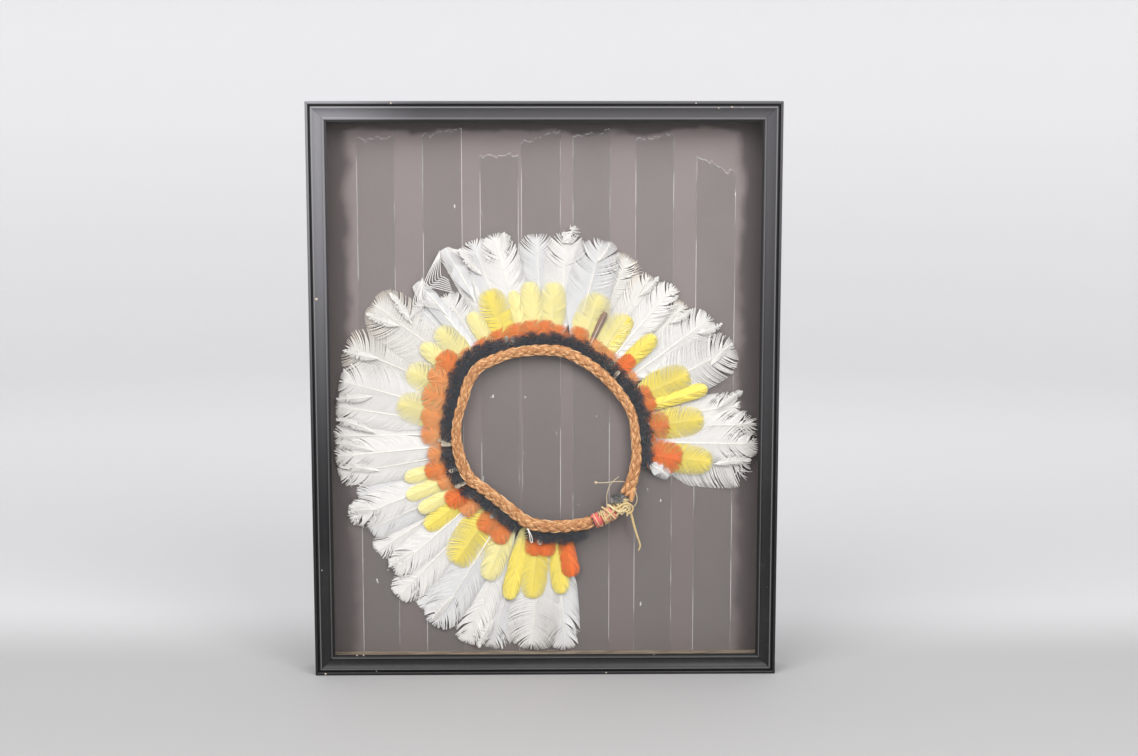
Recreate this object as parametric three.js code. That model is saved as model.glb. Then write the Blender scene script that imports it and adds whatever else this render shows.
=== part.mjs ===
// Feathered headdress in a glazed display frame.
// Millimetres, +Z up, X across the frame, the glass faces -Y.
// Origin: middle of the frame's footprint, on the surface that it stands on.
import * as THREE from "three";

// ---- Display frame ----
const FRAME_WIDTH = 500;
const FRAME_HEIGHT = 618;
const FRAME_FRONT = -22.5;
const FRAME_BACK = 22.5;
const FACE_WIDTH = 21.3; // moulding, outer edge to sight edge
const REBATE_EDGE = 15.3; // outer edge to the wall that holds glass and backing
const LIP_BACK = -15.8;
const FIT_GAP = 0.3;
const BEAD_RADIUS = 1.75;
const GLASS_FRONT = -15.5;
const GLASS_THICKNESS = 2;
const BACKING_FRONT = 10.5;
const BACKING_THICKNESS = 3;
const SPACER_THICKNESS = 2;

// ---- Headband, the ring that the head goes in ----
const RING_CENTRE = [1, 256]; // X and Z that the feathers radiate from
const RING_Y = -1.5;
const BAND_SIDES = 10;
const BAND_STEPS = 72;
const BAND_ROUTE = [ // X, Z and the radius there, from the end beside the tie, all the way round
  [86.5, 196, 6.6], [92, 205, 7], [96.5, 220, 6.6], [99, 240, 6], [97.5, 260, 5.6], [95, 280, 5.4],
  [87, 297, 5.8], [75, 313, 6.2], [60, 328.5, 6.4], [40, 342.5, 6.6], [20, 352, 6.6], [0, 353.7, 6.4],
  [-20, 352.7, 6.2], [-40, 349.5, 6.2], [-60, 341, 6.4], [-71, 335, 6.4], [-82, 320, 6.2],
  [-88, 300, 5.8], [-94, 280, 5.4], [-96, 260, 6], [-93, 240, 6.6], [-88, 225, 7], [-80, 212, 7],
  [-60, 197, 6.8], [-40, 181, 7], [-20, 165.5, 7.2], [0, 160.6, 7.3], [20, 160.3, 7.3], [38, 162.2, 7.2],
  [51, 165.4, 7],
];
const BINDING_ROUTE = [[53, 166, 7.4], [58, 167.6, 7.6], [63, 169.8, 7.6], [67.5, 172.3, 7.2]];
const TIE_ROUTE = [[69.3, 173.4, 7.4], [74, 176.4, 8], [79, 180, 7.4], [83, 184.4, 6], [85.2, 188.3, 5]];

// ---- Free ends of the tie: X, Y, Z ----
const TAIL_ROUTE = [
  [90.5, -2.5, 180], [92, -3.1, 177], [93.3, -3.3, 173.4], [94.4, -3.3, 169.5], [95.4, -3.1, 165.5],
  [96.4, -2.8, 161.5], [97.5, -2.5, 157.5], [98.7, -2.2, 153.6], [99.9, -1.9, 149.7],
  [101.2, -1.5, 145.8], [102.5, -1.1, 142],
  [103.4, -0.7, 138.6], [102.8, -0.4, 135.4], [101.4, -0.2, 132.8],
];
const LONG_STRING_ROUTE = [
  [85.6, -5, 210.2], [82.5, -7.5, 210.9], [79.2, -8.7, 211.2], [76, -8.7, 211.1], [72.5, -8.4, 210.8],
  [69, -8.1, 210.3], [65.5, -7.9, 209.9], [62, -7.7, 209.6], [58.4, -7.5, 209.6], [54.6, -7.5, 209.9],
];
const SHORT_STRING_ROUTE = [
  [67, -9.9, 185.6], [66.6, -10.3, 188.8], [66.4, -10.5, 192], [66.4, -10.7, 195.3], [66.8, -10.9, 198.6],
  [67.6, -11.1, 201.9], [68.7, -11.2, 205.1], [70.2, -11.2, 208.2], [72.3, -11.1, 211], [74.9, -11, 213.4],
  [77.6, -10.9, 215.6], [79.4, -10.8, 217.2],
];
const LOOP_ROUTE = [
  [95.6, -6.1, 201.2], [97.2, -6.3, 199.4], [98.4, -6.3, 197.2], [99.2, -6.2, 194.6], [99.5, -6.1, 191.8],
  [99.3, -5.9, 189], [98.5, -5.7, 186.3], [97.1, -5.5, 184], [95.2, -5.2, 182.4],
];
const TAIL_RADIUS = 1.4;
const STRING_RADIUS = 0.5;
const CORD_SIDES = 8;

// ---- Feathers: degrees clockwise from straight up, about RING_CENTRE ----
const ROOT_CLEARANCE = 0.6; // from the band's outside to the feathers' roots
const QUILL_WIDTH = 3;
const WHITE_DEPTHS = [9, 7.6, 6.2]; // Y of the three staggered layers' middles
const WHITE_THICKNESS = 1;
const WHITE_FEATHERS = [ // where its width starts and ends, and the radius of its tip
  [353, 362, 222], [2, 11, 224], [11, 21, 224], [21, 30, 218], [30, 37, 210], [36, 43, 216], [43, 50, 210],
  [49, 58, 222], [58, 70, 227], [74, 82, 216], [81, 89, 229], [88, 97, 231], [95, 105, 228],
  [171, 178, 238], [178, 189, 237], [189, 197, 243], [198, 205, 246], [205, 213, 243], [213, 219, 235],
  [218, 225, 241], [225, 232, 223], [232, 239, 225], [238, 244, 218], [244, 251, 232], [250, 257, 215],
  [256, 263, 229], [262, 269, 230], [268, 276, 230], [275, 282, 230], [281, 291, 232], [291, 303, 239],
  [304, 315, 239], [315, 325, 218], [325, 336, 233], [336, 344, 229], [343, 351, 229],
];
const YELLOW_ROW = { y: 4.8, thickness: 1, notch: 0.5 };
const YELLOW_MAIN = [
  [198, 207, 170], [209, 224, 172], [229, 237, 165], [237, 243, 160], [244, 250, 165], [251, 257, 160],
  [277, 290, 166], [291, 303, 168], [304, 311, 169], [311, 321, 168], [326, 333, 160], [333, 345, 174],
  [345, 350, 165], [350, 358, 172], [358, 368, 171], [374, 387, 169], [387, 398, 160], [403, 410, 163],
  [419, 432, 171], [437, 449, 173], [453, 464, 183],
];
const YELLOW_LOWER = [[171, 178, 174], [180, 190, 179], [190, 196, 184]];
const ORANGE_ROW = { y: 3.3, thickness: 1, notch: 0.45 };
const ORANGE_MAIN = [
  [201, 209, 128], [209, 219, 125], [224, 232, 124], [232, 241, 130], [243, 250, 128], [250, 258, 137],
  [258, 266, 130], [268, 277, 136], [277, 286, 138], [286, 297, 143], [297, 304, 146], [304, 313, 148],
  [313, 321, 133], [321, 331, 131], [335, 355, 131], [355, 370, 128], [373, 382, 128], [382, 394, 122],
  [394, 402, 120], [403, 410, 130], [410, 418, 121], [421, 435, 125], [437, 450, 135], [453, 465, 150],
];
const ORANGE_LOWER = [[165, 174, 156], [176, 190, 131]];
const BLACK_ROW = { y: 0.4, thickness: 4, notch: 0.8 };
const BLACK_MAIN = [
  [197, 206, 116], [206, 217, 119], [218, 230, 117], [231, 243, 113], [243, 256, 112], [256, 268, 112],
  [268, 280, 113], [280, 292, 117], [293, 305, 124], [305, 316, 124], [316, 328, 122], [328, 340, 118],
  [340, 352, 115], [352, 364, 114], [364, 376, 114], [376, 388, 113], [388, 400, 112], [400, 412, 112],
  [412, 424, 112], [424, 436, 113], [436, 448, 114], [448, 460, 116], [460, 468, 112],
];
const BLACK_LOWER = [[159, 170, 112], [170, 180, 117], [180, 191, 116]];

// ---- Finishes ----
const FINISHES = {
  paint: { color: 0x2e2e31, roughness: 0.42, metalness: 0 },
  glass: { color: 0xdfe6e4, roughness: 0.05, metalness: 0 },
  board: { color: 0x6f6868, roughness: 0.95, metalness: 0 },
  rawWood: { color: 0xa48a63, roughness: 0.8, metalness: 0 },
  palmFibre: { color: 0xc88750, roughness: 0.7, metalness: 0 },
  redCloth: { color: 0xcf5a52, roughness: 0.9, metalness: 0 },
  raffia: { color: 0xd3b87f, roughness: 0.7, metalness: 0 },
  whiteFeather: { color: 0xefebe4, roughness: 0.8, metalness: 0 },
  yellowFeather: { color: 0xf3dd62, roughness: 0.8, metalness: 0 },
  orangeFeather: { color: 0xdf6f35, roughness: 0.8, metalness: 0 },
  blackFeather: { color: 0x2d2f35, roughness: 0.85, metalness: 0 },
};

const headdress = new THREE.Group();

/** Adds one named mesh, with a material of its own, to the group. */
function addPiece(name, geometry, finish) {
  const mesh = new THREE.Mesh(geometry, new THREE.MeshStandardMaterial(FINISHES[finish]));
  mesh.name = name;
  headdress.add(mesh);
  return mesh;
}

/** The moulding's section: x runs inward from the outer edge, y runs front to back. */
function mouldingSection() {
  const section = new THREE.Shape();
  section.moveTo(0, FRAME_BACK);
  section.lineTo(0, FRAME_FRONT + BEAD_RADIUS);
  section.absarc(BEAD_RADIUS, FRAME_FRONT + BEAD_RADIUS, BEAD_RADIUS, Math.PI, 2 * Math.PI, false);
  section.lineTo(3.7, -19.7);
  section.lineTo(5.2, -19.7);
  section.lineTo(5.4, -21.2);
  section.quadraticCurveTo(6.5, -22.2, 7.7, -21.2);
  section.quadraticCurveTo(11, -18.2, 16.2, -18.3);
  section.quadraticCurveTo(18.2, -20.3, 19.8, -18.2);
  section.lineTo(20, -17.2);
  section.lineTo(FACE_WIDTH, -17);
  section.lineTo(FACE_WIDTH, LIP_BACK);
  section.lineTo(REBATE_EDGE, LIP_BACK);
  section.lineTo(REBATE_EDGE, FRAME_BACK);
  section.closePath();
  return section;
}

/** A rail of the moulding whose ends are mitred: X along the rail, Z inward. */
function mitredRail(length) {
  const geometry = new THREE.ExtrudeGeometry(mouldingSection(), {
    depth: length, bevelEnabled: false, curveSegments: 6,
  });
  const { position } = geometry.attributes;
  for (let i = 0; i < position.count; i += 1) {
    const inward = position.getX(i);
    const end = Math.sign(length / 2 - position.getZ(i));
    position.setXYZ(i, end * (length / 2 - inward - FIT_GAP / 2), position.getY(i), inward);
  }
  return geometry;
}

/** The four rails, each turned about Y so that its inner side faces the middle. */
function buildRails() {
  const middle = FRAME_HEIGHT / 2;
  const rails = [
    ["rail_bottom", FRAME_WIDTH, 0, [0, 0, 0]],
    ["rail_right", FRAME_HEIGHT, -Math.PI / 2, [FRAME_WIDTH / 2, 0, middle]],
    ["rail_top", FRAME_WIDTH, Math.PI, [0, 0, FRAME_HEIGHT]],
    ["rail_left", FRAME_HEIGHT, Math.PI / 2, [-FRAME_WIDTH / 2, 0, middle]],
  ];
  for (const [name, length, turn, place] of rails) {
    const rail = addPiece(name, mitredRail(length), "paint");
    rail.rotation.y = turn;
    rail.position.set(...place);
  }
}

/** A board centred on X, given its size and the middle of it in Y and Z. */
function addBoard(name, size, centre, finish) {
  addPiece(name, new THREE.BoxGeometry(...size), finish).position.set(...centre);
}

/** Glass, backing board and the wood strips that keep them apart. */
function buildGlazing() {
  const width = FRAME_WIDTH - 2 * (REBATE_EDGE + FIT_GAP);
  const height = FRAME_HEIGHT - 2 * (REBATE_EDGE + FIT_GAP);
  const middle = FRAME_HEIGHT / 2;
  const glassY = GLASS_FRONT + GLASS_THICKNESS / 2;
  const backingY = BACKING_FRONT + BACKING_THICKNESS / 2;
  addBoard("glass", [width, GLASS_THICKNESS, height], [0, glassY, middle], "glass");
  addBoard("backing_board", [width, BACKING_THICKNESS, height], [0, backingY, middle], "board");

  const front = GLASS_FRONT + GLASS_THICKNESS + FIT_GAP;
  const back = BACKING_FRONT - FIT_GAP;
  const depth = back - front;
  const y = (front + back) / 2;
  const sideHeight = height - 2 * (SPACER_THICKNESS + FIT_GAP);
  const across = width / 2 - SPACER_THICKNESS / 2;
  const up = height / 2 - SPACER_THICKNESS / 2;
  addBoard("spacer_bottom", [width, depth, SPACER_THICKNESS], [0, y, middle - up], "rawWood");
  addBoard("spacer_top", [width, depth, SPACER_THICKNESS], [0, y, middle + up], "rawWood");
  addBoard("spacer_left", [SPACER_THICKNESS, depth, sideHeight], [-across, y, middle], "rawWood");
  addBoard("spacer_right", [SPACER_THICKNESS, depth, sideHeight], [across, y, middle], "rawWood");
}

/** A round section for a tube, with its corners on a circle of the given radius. */
function roundSection(radius, sides) {
  const corners = [];
  for (let i = 0; i < sides; i += 1) {
    const angle = (2 * Math.PI * i) / sides;
    corners.push(new THREE.Vector2(radius * Math.cos(angle), radius * Math.sin(angle)));
  }
  return new THREE.Shape(corners);
}

/** A tube along a smooth route. */
function tubeAlong(points, radius, sides, steps) {
  const path = new THREE.CatmullRomCurve3(points, false, "centripetal");
  return new THREE.ExtrudeGeometry(roundSection(radius, sides), {
    steps, extrudePath: path, bevelEnabled: false,
  });
}

/** A tube whose radius follows its route: each ring is scaled about its own middle. */
function taperedTube(route, sides, steps) {
  const points = route.map(([x, z]) => new THREE.Vector3(x, RING_Y, z));
  const radii = new THREE.CatmullRomCurve3(route.map(([, , r], i) => new THREE.Vector3(i, r, 0)));
  const path = new THREE.CatmullRomCurve3(points, false, "centripetal");
  const geometry = tubeAlong(points, 1, sides, steps);
  const middles = path.getSpacedPoints(steps);
  const { position } = geometry.attributes;
  const vertex = new THREE.Vector3();
  for (let i = 0; i < position.count; i += 1) {
    vertex.fromBufferAttribute(position, i);
    const distances = middles.map((middle) => middle.distanceTo(vertex));
    const nearest = distances.indexOf(Math.min(...distances));
    const radius = radii.getPoint(nearest / steps).y;
    vertex.sub(middles[nearest]).multiplyScalar(radius).add(middles[nearest]);
    position.setXYZ(i, vertex.x, vertex.y, vertex.z);
  }
  return geometry;
}

/** The plaited band, the red cloth round its end and the raffia that closes the ring. */
function buildHeadband() {
  addPiece("headband", taperedTube(BAND_ROUTE, BAND_SIDES, BAND_STEPS), "palmFibre");
  addPiece("red_binding", taperedTube(BINDING_ROUTE, BAND_SIDES, 6), "redCloth");
  addPiece("raffia_tie", taperedTube(TIE_ROUTE, BAND_SIDES, 8), "raffia");
}

/** The tie's free ends: a tapering raffia strip and three thin strings. */
function buildTieEnds() {
  const ends = [
    ["tie_tail", TAIL_ROUTE, TAIL_RADIUS, 16],
    ["tie_string_long", LONG_STRING_ROUTE, STRING_RADIUS, 14],
    ["tie_string_short", SHORT_STRING_ROUTE, STRING_RADIUS, 16],
    ["tie_loop", LOOP_ROUTE, STRING_RADIUS, 12],
  ];
  for (const [name, route, radius, steps] of ends) {
    const points = route.map((point) => new THREE.Vector3(...point));
    addPiece(name, tubeAlong(points, radius, CORD_SIDES, steps), "raffia");
  }
}

/** The point at an angle, in degrees clockwise from up, and a radius from the ring's centre. */
function polarPoint(degrees, radius) {
  const angle = THREE.MathUtils.degToRad(degrees);
  return new THREE.Vector2(
    RING_CENTRE[0] + radius * Math.sin(angle),
    RING_CENTRE[1] + radius * Math.cos(angle),
  );
}

/** Radius of the band's outside at an angle, where feathers can start. */
function rootRadius(degrees) {
  const target = THREE.MathUtils.euclideanModulo(degrees, 360);
  let best = { apart: Infinity, radius: 0 };
  for (const [x, z, bandRadius] of BAND_STATIONS) {
    const dx = x - RING_CENTRE[0];
    const dz = z - RING_CENTRE[1];
    const angle = THREE.MathUtils.euclideanModulo(THREE.MathUtils.radToDeg(Math.atan2(dx, dz)), 360);
    const apart = Math.abs(angle - target);
    if (apart < best.apart) best = { apart, radius: Math.hypot(dx, dz) + bandRadius };
  }
  return best.radius + ROOT_CLEARANCE;
}

/** A plate of the given outline in X and Z, centred on a depth Y. */
function plate(outline, y, thickness) {
  const geometry = new THREE.ExtrudeGeometry(new THREE.Shape(outline), {
    depth: thickness, bevelEnabled: false,
  });
  geometry.rotateX(Math.PI / 2);
  geometry.translate(0, y + thickness / 2, 0);
  return geometry;
}

/** Outline of one long feather: a quill at the band, a broad vane and a rounded tip. */
function featherOutline([start, end, tip]) {
  const middle = (start + end) / 2;
  const root = rootRadius(middle);
  const length = tip - root;
  const halfWidth = tip * 0.86 * Math.sin(THREE.MathUtils.degToRad((end - start) / 2));
  const widths = [[0.16, 0.5], [0.34, 0.8], [0.55, 0.97], [0.78, 1], [0.9, 0.82], [0.97, 0.45]];
  const along = polarPoint(middle, 1).sub(polarPoint(middle, 0));
  const across = new THREE.Vector2(along.y, -along.x);
  const at = (distance, side) => polarPoint(middle, root + distance).addScaledVector(across, side);
  const right = widths.map(([part, width]) => at(part * length, width * halfWidth));
  const left = widths.map(([part, width]) => at(part * length, -width * halfWidth)).reverse();
  return [at(0, QUILL_WIDTH / 2), ...right, at(length, 0), ...left, at(0, -QUILL_WIDTH / 2)];
}

/** The long white feathers, staggered in depth so that neighbours overlap without touching. */
function buildWhiteFeathers() {
  WHITE_FEATHERS.forEach((feather, i) => {
    const y = WHITE_DEPTHS[i % WHITE_DEPTHS.length];
    const name = `white_feather_${String(i + 1).padStart(2, "0")}`;
    addPiece(name, plate(featherOutline(feather), y, WHITE_THICKNESS), "whiteFeather");
  });
}

/** A run of short feathers in one solid: rounded tips outside, the band's curve inside. */
function buildRow(name, row, feathers, finish) {
  const outer = [];
  const notchRadius = (degrees, tip) => THREE.MathUtils.lerp(rootRadius(degrees), tip, row.notch);
  for (const [start, end, tip] of feathers) {
    const width = end - start;
    outer.push(polarPoint(start + 0.3, notchRadius(start, tip)));
    const shoulder = THREE.MathUtils.lerp(notchRadius(start, tip), tip, 0.75);
    outer.push(polarPoint(start + 0.12 * width + 0.3, shoulder));
    outer.push(polarPoint(start + 0.35 * width, tip));
    outer.push(polarPoint(start + 0.65 * width, tip));
    outer.push(polarPoint(end - 0.12 * width - 0.3, THREE.MathUtils.lerp(notchRadius(end, tip), tip, 0.75)));
    outer.push(polarPoint(end - 0.3, notchRadius(end, tip)));
  }
  const first = feathers[0][0];
  const last = feathers[feathers.length - 1][1];
  const steps = Math.max(2, Math.round((last - first) / 6));
  const inner = [];
  for (let i = 0; i <= steps; i += 1) {
    const degrees = THREE.MathUtils.lerp(last, first, i / steps);
    inner.push(polarPoint(degrees, rootRadius(degrees)));
  }
  addPiece(name, plate([...outer, ...inner], row.y, row.thickness), finish);
}

/** X, Z and radius at even steps along the band. */
const BAND_STATIONS = (() => {
  const count = BAND_STEPS * 4;
  const path = new THREE.CatmullRomCurve3(
    [...BAND_ROUTE, ...BINDING_ROUTE, ...TIE_ROUTE].map(([x, z, r]) => new THREE.Vector3(x, z, r)),
    true, "centripetal",
  );
  return path.getSpacedPoints(count).map((point) => point.toArray());
})();

buildRails();
buildGlazing();
buildHeadband();
buildTieEnds();
buildWhiteFeathers();
buildRow("yellow_row_main", YELLOW_ROW, YELLOW_MAIN, "yellowFeather");
buildRow("yellow_row_lower", YELLOW_ROW, YELLOW_LOWER, "yellowFeather");
buildRow("orange_row_main", ORANGE_ROW, ORANGE_MAIN, "orangeFeather");
buildRow("orange_row_lower", ORANGE_ROW, ORANGE_LOWER, "orangeFeather");
buildRow("black_row_main", BLACK_ROW, BLACK_MAIN, "blackFeather");
buildRow("black_row_lower", BLACK_ROW, BLACK_LOWER, "blackFeather");

export default headdress;
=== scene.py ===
"""Feathered headdress in a glazed display frame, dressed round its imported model.

Lengths in the classes are millimetres in the row frame (X across, Y front to back, Z up) unless
a name says metres. Angles round the headband are degrees clockwise from straight up.
"""
import logging
import math
import random
from dataclasses import dataclass, replace
from enum import Enum
from functools import cached_property

import bmesh
import bpy
from mathutils import Matrix, Vector, noise


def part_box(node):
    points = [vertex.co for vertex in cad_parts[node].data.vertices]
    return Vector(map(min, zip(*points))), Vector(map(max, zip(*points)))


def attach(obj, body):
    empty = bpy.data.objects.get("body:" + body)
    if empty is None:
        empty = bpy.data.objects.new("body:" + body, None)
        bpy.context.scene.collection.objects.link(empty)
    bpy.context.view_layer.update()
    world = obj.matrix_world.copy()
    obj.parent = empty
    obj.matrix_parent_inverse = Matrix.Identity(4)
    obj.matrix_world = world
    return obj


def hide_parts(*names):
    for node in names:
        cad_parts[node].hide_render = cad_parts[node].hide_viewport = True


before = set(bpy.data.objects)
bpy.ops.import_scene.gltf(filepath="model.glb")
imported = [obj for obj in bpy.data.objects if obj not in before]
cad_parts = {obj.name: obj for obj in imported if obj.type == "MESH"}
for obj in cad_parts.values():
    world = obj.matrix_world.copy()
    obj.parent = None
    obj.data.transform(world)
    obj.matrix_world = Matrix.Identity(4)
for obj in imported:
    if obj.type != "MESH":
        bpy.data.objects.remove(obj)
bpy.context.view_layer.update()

MM = 0.001
BODY = "root"
TO_VIEWER = Vector((0, -1, 0))
log = logging.getLogger("headdress")

Colour = tuple[float, float, float]
Point = tuple[float, float, float]
Pair = tuple[float, float]
Material, Mesh, Piece = bpy.types.Material, bpy.types.Mesh, bpy.types.Object
Socket = bpy.types.NodeSocket


# ---------------------------------------------------------------- node building
class Tree:
    """A node tree under construction: adds nodes and links them in one call."""

    def __init__(self, group: bpy.types.NodeTree) -> None:
        """Keep the tree that nodes are added to.

        Args:
            group: A Geometry Nodes or shader tree.
        """
        self.group = group

    def node(self, kind: str, links: dict | None = None, **settings) -> bpy.types.Node:
        """Add a node.

        Args:
            kind: The node's type name.
            links: Input name or number to a socket to link, or to a plain value.
            **settings: Properties of the node.

        Returns:
            The new node.
        """
        made = self.group.nodes.new(kind)
        for name, value in settings.items():
            setattr(made, name, value)
        for key, value in (links or {}).items():
            if isinstance(value, Socket):
                self.group.links.new(value, made.inputs[key])
            else:
                made.inputs[key].default_value = value
        return made

    def out(self, kind: str, links: dict | None = None, **settings) -> Socket:
        """Add a node and return its first output."""
        return self.node(kind, links, **settings).outputs[0]

    def math(self, operation: str, first: object, second: object = 0.0) -> Socket:
        """Return the result of one sum on two numbers or sockets."""
        return self.out("ShaderNodeMath", {0: first, 1: second}, operation=operation)

    def plus(self, first: object, second: object) -> Socket:
        """Return the sum of two numbers."""
        return self.math("ADD", first, second)

    def minus(self, first: object, second: object) -> Socket:
        """Return the first number less the second."""
        return self.math("SUBTRACT", first, second)

    def times(self, first: object, second: object) -> Socket:
        """Return the product of two numbers."""
        return self.math("MULTIPLY", first, second)

    def chain(self, start: object, *steps: tuple[str, object]) -> Socket:
        """Apply sums one after the other.

        Args:
            start: The first number or socket.
            *steps: Pairs of an operation and its second number or socket.

        Returns:
            The last sum's socket.
        """
        for operation, value in steps:
            start = self.math(operation, start, value)
        return start

    def vector(self, operation: str, first: object, second: object = (0, 0, 0)) -> Socket:
        """Return the result of one sum on two vectors."""
        return self.out("ShaderNodeVectorMath", {0: first, 1: second}, operation=operation)

    def scaled(self, vector: object, factor: object) -> Socket:
        """Return a vector times a number."""
        links = {"Vector": vector, "Scale": factor}
        return self.out("ShaderNodeVectorMath", links, operation="SCALE")


class GeometryTree(Tree):
    """A Geometry Nodes tree with named size inputs."""

    def __init__(self, name: str, sizes: dict[str, float | int], finishes: tuple[str, ...]) -> None:
        """Make the tree and its inputs.

        Args:
            name: The tree's name.
            sizes: Each input's name and its default; an int makes a whole-number input.
            finishes: Names of the material inputs.
        """
        super().__init__(bpy.data.node_groups.new(name, "GeometryNodeTree"))
        face = self.group.interface
        face.new_socket("Geometry", in_out="INPUT", socket_type="NodeSocketGeometry")
        for label, value in sizes.items():
            kind = "NodeSocketInt" if isinstance(value, int) else "NodeSocketFloat"
            face.new_socket(label, in_out="INPUT", socket_type=kind).default_value = value
        for label in finishes:
            face.new_socket(label, in_out="INPUT", socket_type="NodeSocketMaterial")
        face.new_socket("Geometry", in_out="OUTPUT", socket_type="NodeSocketGeometry")
        self.start = self.group.nodes.new("NodeGroupInput")
        self.end = self.group.nodes.new("NodeGroupOutput")

    def size(self, label: str) -> Socket:
        """Return one of the tree's inputs."""
        return self.start.outputs[label]

    def chance(self, number: object, seed_step: int) -> Socket:
        """Return a fixed random number from 0 to 1 for each whole number."""
        seed = self.plus(self.size("Seed"), float(seed_step))
        return self.node("FunctionNodeRandomValue", {"ID": number, "Seed": seed}).outputs[1]

    def store(self, geometry: object, name: str, value: object) -> Socket:
        """Keep a number on every point under a name."""
        return self.out(
            "GeometryNodeStoreNamedAttribute", {"Geometry": geometry, "Name": name, "Value": value}
        )

    def kept(self, name: str) -> Socket:
        """Return a number that was kept on the points."""
        return self.out("GeometryNodeInputNamedAttribute", {"Name": name})

    def flat_profile(self, sides: int, flatness: object) -> Socket:
        """Return a round profile of radius 1, flattened along its second axis."""
        circle = self.out("GeometryNodeCurvePrimitiveCircle", {"Resolution": sides, "Radius": 1.0})
        scale = self.out("ShaderNodeCombineXYZ", {"X": 1.0, "Y": flatness, "Z": 1.0})
        return self.out("GeometryNodeTransform", {"Geometry": circle, "Scale": scale})

    def evenly(self, curve: object, step: object) -> Socket:
        """Return a curve with its points a step apart."""
        return self.out("GeometryNodeResampleCurve", {"Curve": curve, "Length": step}, mode="LENGTH")

    def moved(self, geometry: object, offset: object) -> Socket:
        """Return geometry whose points are shifted."""
        return self.out("GeometryNodeSetPosition", {"Geometry": geometry, "Offset": offset})

    def swept(self, curves: object, profile: object, radius: object) -> Socket:
        """Return a closed mesh of a profile along curves."""
        links = {"Curve": curves, "Profile Curve": profile, "Scale": radius, "Fill Caps": True}
        return self.out("GeometryNodeCurveToMesh", links)

    def finish(self, geometry: object, label: str, **parts: object) -> None:
        """End the tree with the instances made real and the finishes set.

        Args:
            geometry: What the tree has made.
            label: The finish of all of it.
            **parts: Other finishes, and where each takes over.
        """
        real = self.out("GeometryNodeRealizeInstances", {"Geometry": geometry})
        real = self.dressed(self.out("GeometryNodeSetShadeSmooth", {"Geometry": real}), label)
        for part, selection in parts.items():
            real = self.dressed(real, part, selection)
        self.group.links.new(real, self.end.inputs[0])

    def dressed(self, geometry: object, label: str, selection: object = True) -> Socket:
        """Return geometry with one of the tree's finishes set where it is selected."""
        links = {"Geometry": geometry, "Selection": selection, "Material": self.size(label)}
        return self.out("GeometryNodeSetMaterial", links)


def line_mesh(name: str, points: list[Vector] | list[Point]) -> Mesh:
    """Return a mesh that is one open line through the points."""
    mesh = bpy.data.meshes.new(name)
    mesh.from_pydata([tuple(p) for p in points], [(i, i + 1) for i in range(len(points) - 1)], [])
    return mesh


def grown(
    name: str, base: Mesh, tree: GeometryTree, inputs: dict[str, object], place: Matrix
) -> Piece:
    """Run a Geometry Nodes tree on a base mesh and keep the result as a plain mesh.

    Args:
        name: The new object's name.
        base: The mesh that the tree starts from.
        tree: The tree.
        inputs: Named inputs that differ from the tree's defaults.
        place: Where the result goes, put into the mesh itself.

    Returns:
        An object at the origin with no modifiers.
    """
    carrier = bpy.data.objects.new(name + "_base", base)
    bpy.context.scene.collection.objects.link(carrier)
    modifier = carrier.modifiers.new("grow", "NODES")
    modifier.node_group = tree.group
    identifiers = {
        item.name: item.identifier
        for item in tree.group.interface.items_tree
        if item.item_type == "SOCKET" and item.in_out == "INPUT"
    }
    for label, value in inputs.items():
        modifier[identifiers[label]] = value
    carrier.update_tag()
    shown = carrier.evaluated_get(bpy.context.evaluated_depsgraph_get())
    mesh = bpy.data.meshes.new_from_object(shown)
    mesh.name = name
    mesh.transform(place)
    bpy.data.objects.remove(carrier)
    bpy.data.meshes.remove(base)
    return placed(name, mesh)


def placed(name: str, mesh: Mesh, *finishes: Material) -> Piece:
    """Return a new object for a finished mesh, with its finishes."""
    for finish in finishes:
        mesh.materials.append(finish)
    piece = bpy.data.objects.new(name, mesh)
    bpy.context.scene.collection.objects.link(piece)
    return piece


def fitted(piece: Piece, slot: str, *nodes: str) -> None:
    """Put a piece on the root body, in place of the nodes it stands for."""
    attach(piece, BODY)
    if nodes:
        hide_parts(*nodes)


def number_on(mesh: Mesh, name: str, values: list[float]) -> None:
    """Keep one number for each point of a mesh under a name."""
    kept = mesh.attributes.new(name, "FLOAT", "POINT")
    kept.data.foreach_set("value", values)


def face_outward(mesh: Mesh, smooth: bool = True) -> None:
    """Turn a closed mesh's faces outward, and shade it smooth unless it has hard edges."""
    work = bmesh.new()
    work.from_mesh(mesh)
    bmesh.ops.recalc_face_normals(work, faces=work.faces)
    for face in work.faces:
        face.smooth = smooth
    work.to_mesh(mesh)
    work.free()


def joined(name: str, pieces: list[Piece]) -> Piece:
    """Join several plain-mesh objects into one.

    Args:
        name: The joined object's name.
        pieces: Objects at the origin, which are removed.

    Returns:
        The joined object.
    """
    with bpy.context.temp_override(
        active_object=pieces[0], object=pieces[0], selected_objects=pieces,
        selected_editable_objects=pieces,
    ):
        bpy.ops.object.join()
    pieces[0].name = name
    pieces[0].data.name = name
    return pieces[0]


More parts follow.
